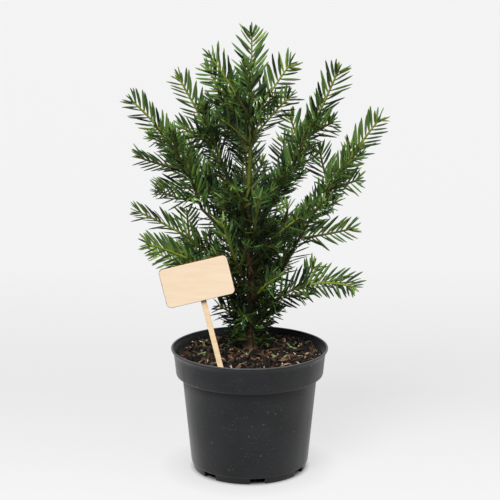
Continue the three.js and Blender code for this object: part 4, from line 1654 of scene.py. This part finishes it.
@dataclass
class Foliage:
    """The crown: shoots that grow on from the limbs, and the needles in two ranks on each.

    Lengths are in mm and angles in degrees. A number that is added to a seed only keeps its draws apart.
    """

    trunk: Trunk
    limbs: Limbs
    label: PlantLabel
    soil: PottingBark
    pot: NurseryPot
    length: float = 25.0
    width: float = 3.15
    thickness: float = 1.2
    limb_spacing: float = 2.6
    twig_spacing: float = 2.05
    limb_bare: float = 12.0
    tip_spacing: float = 0.75
    twig_vigour: float = 0.76
    top_vigour: float = 1.12
    top_from: float = 380.0
    twig_slimness: float = 0.82
    inner_slimness: float = 0.74
    slim_from: float = 175.0
    upward: float = 10.0
    tip_lean: float = 34.0
    tip_reach: float = 8.0
    tip_share: float = 0.36
    tip_growth: float = 8.0
    foot_reach: float = 12.0
    foot_shortening: float = 0.35
    sickle: float = 0.09
    droop: float = 0.05
    spread: float = 20.0
    front_spread: float = 80.0
    twig_spread: float = 74.0
    tip_spread: float = 90.0
    lift: float = 8.0
    fan_turn: float = 66.0
    fan_spread: float = 18.0
    stem_base: float = 1.6
    side_base: float = 1.3
    step: float = 3.1
    twig_every: float = 7.5
    twig_bearing: float = 44.0
    twig_turn: float = 50.0
    twig_turn_play: float = 22.0
    twig_drop: float = 10.0
    twig_rise_play: float = 26.0
    twig_shortest: float = 20.0
    twig_longest: float = 40.0
    twig_radius: float = 0.75
    twig_clear_tip: float = 60.0
    twig_air: float = 1.9
    inner_count: int = 104
    inner_low: float = 147.0
    inner_high: float = 300.0
    inner_shortest: float = 24.0
    inner_longest: float = 46.0
    inner_front: float = -0.88
    shoots: list[Shoot] = field(default_factory=list)

    # ---------------------------------------------------------------- the rule

    def fan_roll(self, azimuth: float, seed: int) -> float:
        """Works out the roll that turns the flat of a shoot towards the front or the back.

        Args:
            azimuth: The direction that the shoot grows in.
            seed: The shoot's seed.

        Returns:
            The roll in degrees.
        """
        turn = math.radians(azimuth)
        side = 1 if math.sin(turn) > 0.35 else -1
        return side * self.fan_turn * math.cos(turn) + self.fan_spread * jitter(seed + 71)

    def grow(self) -> None:
        """Grows every shoot: the sprays and their side shoots first, then the twigs that find room."""
        stems = self.limbs.stems
        rods = 40
        for i in range(rods):
            low, high = (lerp(self.trunk.foot, self.trunk.top, (i + k) / rods) for k in (0, 1))
            stems.add_rod("trunk", self.trunk.point(low), self.trunk.point(high), self.trunk.radius(low))
        for number, bough in enumerate(BOUGHS):
            self.shoots += self.spray_of(bough, number)
        for shoot in self.shoots:
            stems.add(shoot.name, shoot.path, shoot.radius)
        for shoot in list(self.shoots):
            if shoot.path.length > self.twig_bearing:
                self.shoots += self.twigs_of(shoot)
        self.shoots += self.inner_twigs()
        self.shoots += self.limb_shoots()
        self.shoots += [self.trunk_shoot(), self.trunk_skirt(), self.sprig()]
        for shoot in self.shoots:
            shoot.spacing = self.twig_spacing if shoot.small else shoot.spacing

    def spray_of(self, bough: Bough, number: int) -> list[Shoot]:
        """Grows the spray that carries a bough on.

        Args:
            bough: The bough.
            number: Its place in the list, which is its seed.

        Returns:
            The spray's main stem, followed by the side shoots it is given.
        """
        limb = self.limbs.path(bough)
        start = limb.point(1.0) if limb else self.trunk.point(bough.foot)
        parent = "bough_" + bough.name if limb else "trunk"
        zone = Zone.of(bough.name)
        main = StemPath(start, bough.azimuth + bough.turn, bough.spray, self.step)
        base = min(self.stem_base, self.limbs.base_radius(bough))
        spread = self.spread_of(bough)
        roll = self.fan_roll(main.azimuth, number) if bough.roll is None else bough.roll
        bare = 0.0 if limb else self.trunk.radius(bough.foot)
        made = [Shoot(bough.name, zone, main, number, base, roll, spread, parent, bare=bare, lean=bough.lean)]
        for i, side in enumerate(bough.shoots):
            foot = main.point(side.at / main.length)
            path = StemPath(foot, main.azimuth + side.turn, (side.length, *side.rise), self.step)
            seed = number + 40 * (i + 1)
            name = f"{bough.name}_side_{i}"
            roll = self.fan_roll(path.azimuth, seed)
            made.append(Shoot(name, zone, path, seed, self.side_base, roll, spread, bough.name, order=1))
        return made

    def spread_of(self, bough: Bough) -> float:
        """Works out how far the needles of a bough stand out of the flat of its sprays.

        Args:
            bough: The bough.

        Returns:
            The spread in degrees.
        """
        if bough.spread is not None:
            return bough.spread
        return self.front_spread if Zone.of(bough.name) is Zone.FRONT else self.spread

    def twigs_of(self, shoot: Shoot) -> list[Shoot]:
        """Grows the small twigs that leave a shoot by turns to its left and right, where there is room.

        Args:
            shoot: The shoot.

        Returns:
            The twigs that find room.
        """
        made: list[Shoot] = []
        path = shoot.path
        count = int((path.length - self.twig_clear_tip) / self.twig_every) + 1
        for i in range(max(count, 0)):
            draw = shoot.seed * 31 + i * 7
            at = (i + 0.5 + 0.3 * jitter(draw)) * self.twig_every + shoot.bare
            side = 1 if (i + shoot.seed) % 2 else -1
            turn = side * (self.twig_turn + self.twig_turn_play * jitter(draw + 1))
            rise = path.rise(at / path.length) - self.twig_drop + self.twig_rise_play * jitter(draw + 2)
            reach = clamp(0.5 * (path.length - at), self.twig_shortest, self.twig_longest)
            reach = reach * (1 + 0.15 * jitter(draw + 3))
            foot = path.point(at / path.length)
            twig = StemPath(foot, path.azimuth + turn, (reach, rise, rise - 6.0), self.step)
            name = f"{shoot.name}_twig_{i}"
            seed = shoot.seed + 400 + 40 * i
            roll = self.fan_roll(twig.azimuth, seed)
            spread = max(shoot.spread, self.twig_spread)
            grown = Shoot(
                name,
                shoot.zone,
                twig,
                seed,
                self.twig_radius,
                roll,
                spread,
                parent=shoot.name,
                order=shoot.order + 1,
                small=True,
            )
            if self.takes(grown):
                made.append(grown)
        return made

    def takes(self, shoot: Shoot) -> bool:
        """Counts a twig among the stems if it finds room there.

        Args:
            shoot: The twig.

        Returns:
            Whether it finds room.
        """
        samples = shoot.path.points[3:]
        stems = self.limbs.stems
        clear = stems.air(samples, {shoot.name, shoot.parent}).min() > self.twig_air
        if not clear or not self.in_open(samples).all() or any(gap.holds(samples).any() for gap in SKY_GAPS):
            return False
        stems.add(shoot.name, shoot.path, shoot.radius)
        return True

    def inner_twigs(self) -> list[Shoot]:
        """Grows the short twigs that leave the trunk itself, each a golden angle on from the one below.

        Returns:
            The twigs that find room.
        """
        made: list[Shoot] = []
        for i in range(self.inner_count):
            height = lerp(self.inner_low, self.inner_high, i / self.inner_count)
            azimuth = GOLDEN_ANGLE * i + 20.0 * jitter(i + 900)
            if math.sin(math.radians(azimuth)) < self.inner_front:
                continue
            rise = 24.0 + 26.0 * chance(i + 930)
            reach = lerp(self.inner_shortest, self.inner_longest, chance(i + 960))
            path = StemPath(self.trunk.point(height), azimuth, (reach, rise, rise - 10.0), self.step)
            name = f"inner_{i}"
            roll = self.fan_roll(azimuth, 990 + i)
            zone = Zone.FRONT if math.sin(math.radians(azimuth)) < 0 else Zone.BACK
            twig = Shoot(
                name,
                zone,
                path,
                990 + i,
                base_radius=0.8,
                roll=roll,
                spread=self.twig_spread,
                parent="trunk",
                order=1,
                bare=4.0,
                small=True,
            )
            if self.takes(twig):
                made.append(twig)
        return made

    def limb_shoots(self) -> list[Shoot]:
        """Makes shoots of the limbs, which still bear needles past their bare foot.

        Returns:
            A shoot for each limb.
        """
        made = []
        for number, bough in enumerate(BOUGHS):
            path = self.limbs.path(bough)
            if path is None:
                continue
            name, zone = "bough_" + bough.name, Zone.of(bough.name)
            roll = self.fan_roll(bough.azimuth, 300 + number)
            limb = Shoot(
                name,
                zone,
                path,
                300 + number,
                self.limbs.base_radius(bough),
                roll,
                self.twig_spread,
                parent="trunk",
                bare=self.limb_bare,
                tip_radius=self.limbs.tip_radius,
                drawn=False,
                goes_on=True,
                spacing=self.limb_spacing,
            )
            made.append(limb)
        return made

    def trunk_shoot(self) -> Shoot:
        """Makes a shoot of the trunk's own upper part, which still bears needles.

        Returns:
            The shoot.
        """
        foot = self.trunk.point(286.0)
        path = StemPath(foot, 90.0, (96.0, 90.0, 90.0), self.step)
        return Shoot(
            "trunk_top",
            Zone.CROWN,
            path,
            seed=77,
            base_radius=2.2,
            roll=0.0,
            spread=40.0,
            parent="trunk",
            tip_radius=1.6,
            drawn=False,
            goes_on=True,
        )

    def trunk_skirt(self) -> Shoot:
        """Makes a shoot of the trunk's foot, whose old needles hang out all round it.

        Returns:
            The shoot.
        """
        path = StemPath(self.trunk.point(138.0), 90.0, (66.0, 90.0, 90.0), self.step)
        return Shoot(
            "trunk_skirt",
            Zone.FRONT,
            path,
            seed=55,
            base_radius=4.4,
            roll=0.0,
            spread=90.0,
            parent="trunk",
            tip_radius=3.8,
            drawn=False,
            goes_on=True,
            spacing=1.35,
            lean=86.0,
        )

    def sprig(self) -> Shoot:
        """Grows the pale sprig that comes up beside the trunk's foot.

        Returns:
            The sprig.
        """
        path = StemPath(np.array((10.0, -5.0, 131.0)), 20.0, (12.0, 62.0, 40.0), self.step)
        return Shoot(
            "sprig",
            Zone.FRONT,
            path,
            seed=61,
            base_radius=0.7,
            roll=0.0,
            spread=40.0,
            parent="trunk",
            order=1,
            tip_radius=0.6,
            small=True,
            lean=36.0,
        )

    def in_open(self, points: np.ndarray) -> np.ndarray:
        """Tells which points are clear of soil, pot and label, and not far out of the solids' box.

        Args:
            points: The points in mm.

        Returns:
            True for each such point.
        """
        x, y, z = points.T
        radius = np.hypot(x, y)
        over_soil = z > self.soil.crown + 1.5
        over_rim = (radius < self.pot.collar_bottom - 6.0) | (z > self.pot.height + 2.0)
        low, high = (np.array(corner) / MM for corner in CAD_BOX)
        inside = ((points > low - 6.0) & (points < high + 6.0)).all(axis=1)
        return over_soil & over_rim & ~self.label.holds(points, 1.5) & inside

    # ---------------------------------------------------------------- needles

    def needle_template(self) -> Template:
        """Makes a needle: a flat blade with a low midrib on both sides.

        Returns:
            The needle, one unit long, wide and thick.
        """
        stations = (0.0, 0.09, 0.3, 0.66, 0.9, 1.0)
        widths = (0.34, 0.62, 1.0, 0.94, 0.5, 0.0)
        last = len(stations) - 1
        bm = column(4, last - 1)
        for vert in bm.verts:
            ring = round((vert.co.z + 0.5) * last)
            x, z = vert.co.x, vert.co.y
            wide = widths[ring]
            thick = 0.35 + 0.65 * wide if ring < last else 0.0
            vert.co = (0.5 * x * wide, stations[ring], 0.5 * z * thick)
        bmesh.ops.remove_doubles(bm, verts=bm.verts, dist=1e-5)
        return Template.of(bm, self.needle_side)

    def needle_side(self, face: bmesh.types.BMFace) -> int:
        """Tells which part of the needle a face is on.

        Args:
            face: The face.

        Returns:
            0 on the upper side, 1 on the underside, 2 on the stalk and 3 at the blade's base.
        """
        middle = face.calc_center_median()
        if middle.y < 0.2:
            return 2 if middle.y < 0.06 else 3
        return 1 if middle.z < -1e-6 else 0

    def stations(self, shoot: Shoot) -> list[float]:
        """Spaces the needles of a shoot, closer at its tip.

        Args:
            shoot: The shoot.

        Returns:
            The distances in mm from its foot at which they leave it.
        """
        at, made = max(shoot.bare, 1.5), []
        while at < shoot.path.length:
            made.append(at)
            at += lerp(shoot.spacing, self.tip_spacing, clamp(4 * self.closing(shoot, at)))
        return made

    def closing(self, shoot: Shoot, at: float) -> float:
        """Returns how far into the tuft at a shoot's tip a distance from its foot is, from 0 to 1."""
        return 0.0 if shoot.goes_on else clamp(1 - (shoot.path.length - at) / self.tip_reach)

    def needles_of(self, shoot: Shoot) -> tuple[np.ndarray, np.ndarray]:
        """Works out the needles of one shoot.

        Args:
            shoot: The shoot that bears them.

        Returns:
            The frames of the needles that find room, as an array of rows (root, direction, side, face,
            length, droop, sickle, slimness), and the tint of each.
        """
        stations = self.stations(shoot)
        frames = np.array([self.needle(shoot, i, at) for i, at in enumerate(stations)])
        tints = np.array([self.tint(shoot, at, i) for i, at in enumerate(stations)])
        shares = np.array((0.3, 0.55, 0.8, 1.0))
        samples = frames[:, None, 0:3] + shares[None, :, None] * frames[:, None, 3:6] * frames[:, None, 12:13]
        flat = samples.reshape(-1, 3)
        clear = (self.limbs.stems.air(flat, {shoot.name, shoot.parent}) > 0.25) & self.in_open(flat)
        kept = clear.reshape(len(stations), -1).all(axis=1)
        return frames[kept], tints[kept]

    def needle(self, shoot: Shoot, i: int, at: float) -> np.ndarray:
        """Works out the frame of one needle.

        Args:
            shoot: The shoot that bears it.
            i: Its number on the shoot.
            at: Its distance from the shoot's foot in mm.

        Returns:
            The frame as a row of numbers, in the order that needles_of gives.
        """
        dice = [jitter(shoot.seed * 977 + i * 13 + use) for use in range(8)]
        t = clamp((at + 0.7 * dice[7]) / shoot.path.length)
        closing = self.closing(shoot, at)
        opening = clamp(at / self.foot_reach)
        across, along, face = shoot.path.axes(t, shoot.roll)
        side = 1 if i % 2 else -1
        tilt = math.radians(self.lift + lerp(shoot.spread, self.tip_spread, closing) * dice[1])
        outward = across * side * math.cos(tilt) + face * math.sin(tilt)
        stand = shoot.lean - self.upward * outward[2]
        lean = math.radians(lerp(stand, self.tip_lean, closing) + lerp(5.0, 24.0, closing) * dice[2])
        direction = along * math.cos(lean) + outward * math.sin(lean)
        left = shoot.path.length - at + (self.length if shoot.goes_on else 0.0)
        tip_share = 1 - (1 - self.tip_share) * math.exp(-left / self.tip_growth) * (1 + 0.2 * dice[4])
        foot_share = 1 - self.foot_shortening * (1 - opening)
        vigour = self.twig_vigour if shoot.small else 1.0
        root = shoot.path.point(t) + outward * shoot.radius(t) * 0.6
        vigour *= lerp(1.0, self.top_vigour, clamp((root[2] - self.top_from) / 50.0))
        length = self.length * vigour * tip_share * foot_share * (0.95 + 0.1 * dice[3] + 0.15 * outward[2])
        depth = self.depth(root)
        # blades turn their upper face to the light as far as their direction lets them
        facing = 1.3 + 1.2 * max(0.0, -outward[2])
        strewn = 0.6 + 0.9 * depth
        light = np.array((0.0, 0.0, 0.6)) + facing * face + strewn * np.array((dice[4], dice[5], 0.0))
        normal = unit(light - direction * light.dot(direction))
        blade = np.cross(direction, normal)
        blade = blade * (1 if blade.dot(along) > 0 else -1)
        bends = (self.droop * (1 + dice[6]), self.sickle * (1 + 0.6 * dice[5]))
        slimness = self.twig_slimness if shoot.small else 1.0
        slimness *= lerp(1.0, self.inner_slimness, depth * clamp((root[2] - self.slim_from) / 50.0))
        return np.concatenate((root, direction, blade, normal, (length, *bends, slimness)))

    def depth(self, place: np.ndarray) -> float:
        """Returns how deep in the shade of the crown a place is, from 0 to 1."""
        inward = clamp(1 - (math.hypot(place[0], place[1]) - 18.0) / 44.0)
        return inward * clamp((400.0 - place[2]) / 60.0) * clamp(0.3 + (place[2] - 150.0) / 90.0)

    def tint(self, shoot: Shoot, at: float, i: int) -> int:
        """Picks a needle's tint by its place on the plant.

        Args:
            shoot: The shoot that bears it.
            at: Its distance from the shoot's foot in mm.
            i: Its number on the shoot.

        Returns:
            The tint's place in Leaf.
        """
        tip = shoot.path.point(1.0)
        outer = clamp((math.hypot(tip[0], tip[1]) - 30.0) / 90.0)
        upper = clamp((tip[2] - 240.0) / 200.0)
        fresh = 0.0 if shoot.goes_on else clamp(1 - (shoot.path.length - at) / 22.0)
        root = shoot.path.point(clamp(at / shoot.path.length))
        towards = max(0.0, -shoot.path.along(1.0)[1])
        fresh *= clamp((math.hypot(tip[0], tip[1]) + tip[2] - 230.0) / 60.0) * (1 - 0.8 * towards)
        score = 0.55 + 1.3 * max(outer, 0.6 * upper) + 1.5 * fresh
        # painted shade: needles deep in the crown are dealt darker tints
        score = score + 0.6 * jitter(shoot.seed + 5) - 1.5 * self.depth(root)
        darkest = round(2 * fresh)
        brightest = len(Leaf) - (1 if fresh > 0.3 else 2)
        return int(clamp(round(score + 1.8 * jitter(shoot.seed * 31 + i)), darkest, brightest))

    def place_needles(self, template: Template, frames: np.ndarray) -> np.ndarray:
        """Returns the vertices of each needle in mm.

        Args:
            template: The unit needle.
            frames: The rows from needles_of.

        Returns:
            An array of needles by vertices by 3.
        """
        root, direction, blade, normal = (frames[:, None, k : k + 3] for k in (0, 3, 6, 9))
        length, droop, sickle, slimness = (frames[:, None, k : k + 1] for k in (12, 13, 14, 15))
        x, s, z = (template.places[None, :, k : k + 1] for k in range(3))
        width = self.width * slimness * np.clip(0.35 + 0.65 * length / self.length, 0.7, 1.05)
        bowed = root + length * (direction * s - normal * droop * s**2 + blade * sickle * s**2)
        turned = blade - direction * 2 * sickle * s
        return bowed + turned * x * width + normal * z * self.thickness

    # ---------------------------------------------------------------- stems and buds

    def place_stem(self, template: Template, shoot: Shoot) -> np.ndarray:
        """Bends the column along a shoot.

        Args:
            template: The unit column.
            shoot: The shoot.

        Returns:
            The stem's vertices in mm.
        """
        placed = np.empty_like(template.places)
        for i, (x, y, z) in enumerate(template.places):
            share = clamp(z + 0.5)
            across, _, face = shoot.path.axes(share)
            placed[i] = shoot.path.point(share) + (x * across - y * face) * shoot.radius(share)
        return placed

    def bud_template(self) -> Template:
        """Makes a pointed bud.

        Returns:
            The bud, about one unit long.
        """
        bm = bmesh.new()
        bmesh.ops.create_icosphere(bm, subdivisions=1, radius=0.5)
        for vert in bm.verts:
            taper = 1 - 0.45 * clamp(vert.co.z + 0.5)
            vert.co = (vert.co.x * taper * 0.8, vert.co.z + 0.4, vert.co.y * taper * 0.8)
        return Template.of(bm)

    def stem_tint(self, shoot: Shoot, template: Template) -> Template:
        """Tints the column as a stem that is older at its foot.

        Args:
            shoot: The shoot.
            template: The unit column.

        Returns:
            The column with its tints.
        """
        share = np.array([template.places[face, 2].mean() + 0.5 for face in template.faces])
        left = (1 - share) * shoot.path.length
        tints = np.where(left > 95.0, 0, np.where((left > 50.0) | (shoot.order > 0), 1, 2))
        return Template(template.places, template.faces, tints)

    # ---------------------------------------------------------------- pieces

    def build(self) -> None:
        """Builds the needles, stems and buds of each zone of the crown."""
        self.grow()
        leaf_finishes = [finish.material() for leaf in Leaf for finish in leaf.finishes()]
        wood_finishes = [wood.value.material() for wood in Wood]
        bud = PlainFinish("bud_scale", (0.2, 0.2, 0.06), 0.6).material()
        needle, knob = self.needle_template(), self.bud_template()
        stem = Template.of(column(sides=6, cuts=13))
        per_leaf = len(Leaf.DEEP.finishes())
        buds = Swarm("shoot_buds")
        total = 0
        for zone in Zone:
            needles, stems = Swarm("needles_" + zone.value), Swarm("twigs_" + zone.value)
            for shoot in (shoot for shoot in self.shoots if shoot.zone is zone):
                frames, tints = self.needles_of(shoot)
                total += len(frames)
                if len(frames):
                    needles.add(needle, self.place_needles(needle, frames), per_leaf * tints)
                if shoot.drawn:
                    stems.add(self.stem_tint(shoot, stem), self.place_stem(stem, shoot)[None])
                    buds.add(knob, self.place_bud(knob, shoot)[None])
            nodes = ["foliage_" + bough.name for bough in BOUGHS if Zone.of(bough.name) is zone]
            piece_from(needles.mesh(), needles.name, leaf_finishes, nodes, smooth=False)
            piece_from(stems.mesh(), stems.name, wood_finishes)
        piece_from(buds.mesh(), buds.name, [bud])
        LOG.info("foliage: %d shoots, %d needles", len(self.shoots), total)

    def place_bud(self, template: Template, shoot: Shoot) -> np.ndarray:
        """Puts the bud at a shoot's tip.

        Args:
            template: The unit bud.
            shoot: The shoot.

        Returns:
            The bud's vertices in mm.
        """
        across, along, face = shoot.path.axes(1.0)
        x, y, z = template.places.T[..., None]
        return shoot.path.point(1.0) + 2.6 * y * along + 1.8 * (x * across + z * face)


# ------------------------------------------------------------------------------------------ all together


def write_sizes() -> None:
    """Brings the view layer up to date."""
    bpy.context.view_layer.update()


def main() -> None:
    """Builds the plant, its pot and the studio, in order."""
    logging.basicConfig(level=logging.INFO, format="%(name)s: %(message)s")
    Studio().build()
    pot = NurseryPot()
    pot.build()
    soil = PottingBark()
    soil.build()
    label = PlantLabel()
    label.build()
    trunk = Trunk()
    trunk.build()
    limbs = Limbs(trunk, Stems())
    limbs.build()
    Foliage(trunk, limbs, label, soil, pot).build()
    write_sizes()


if __name__ == "__main__":
    main()
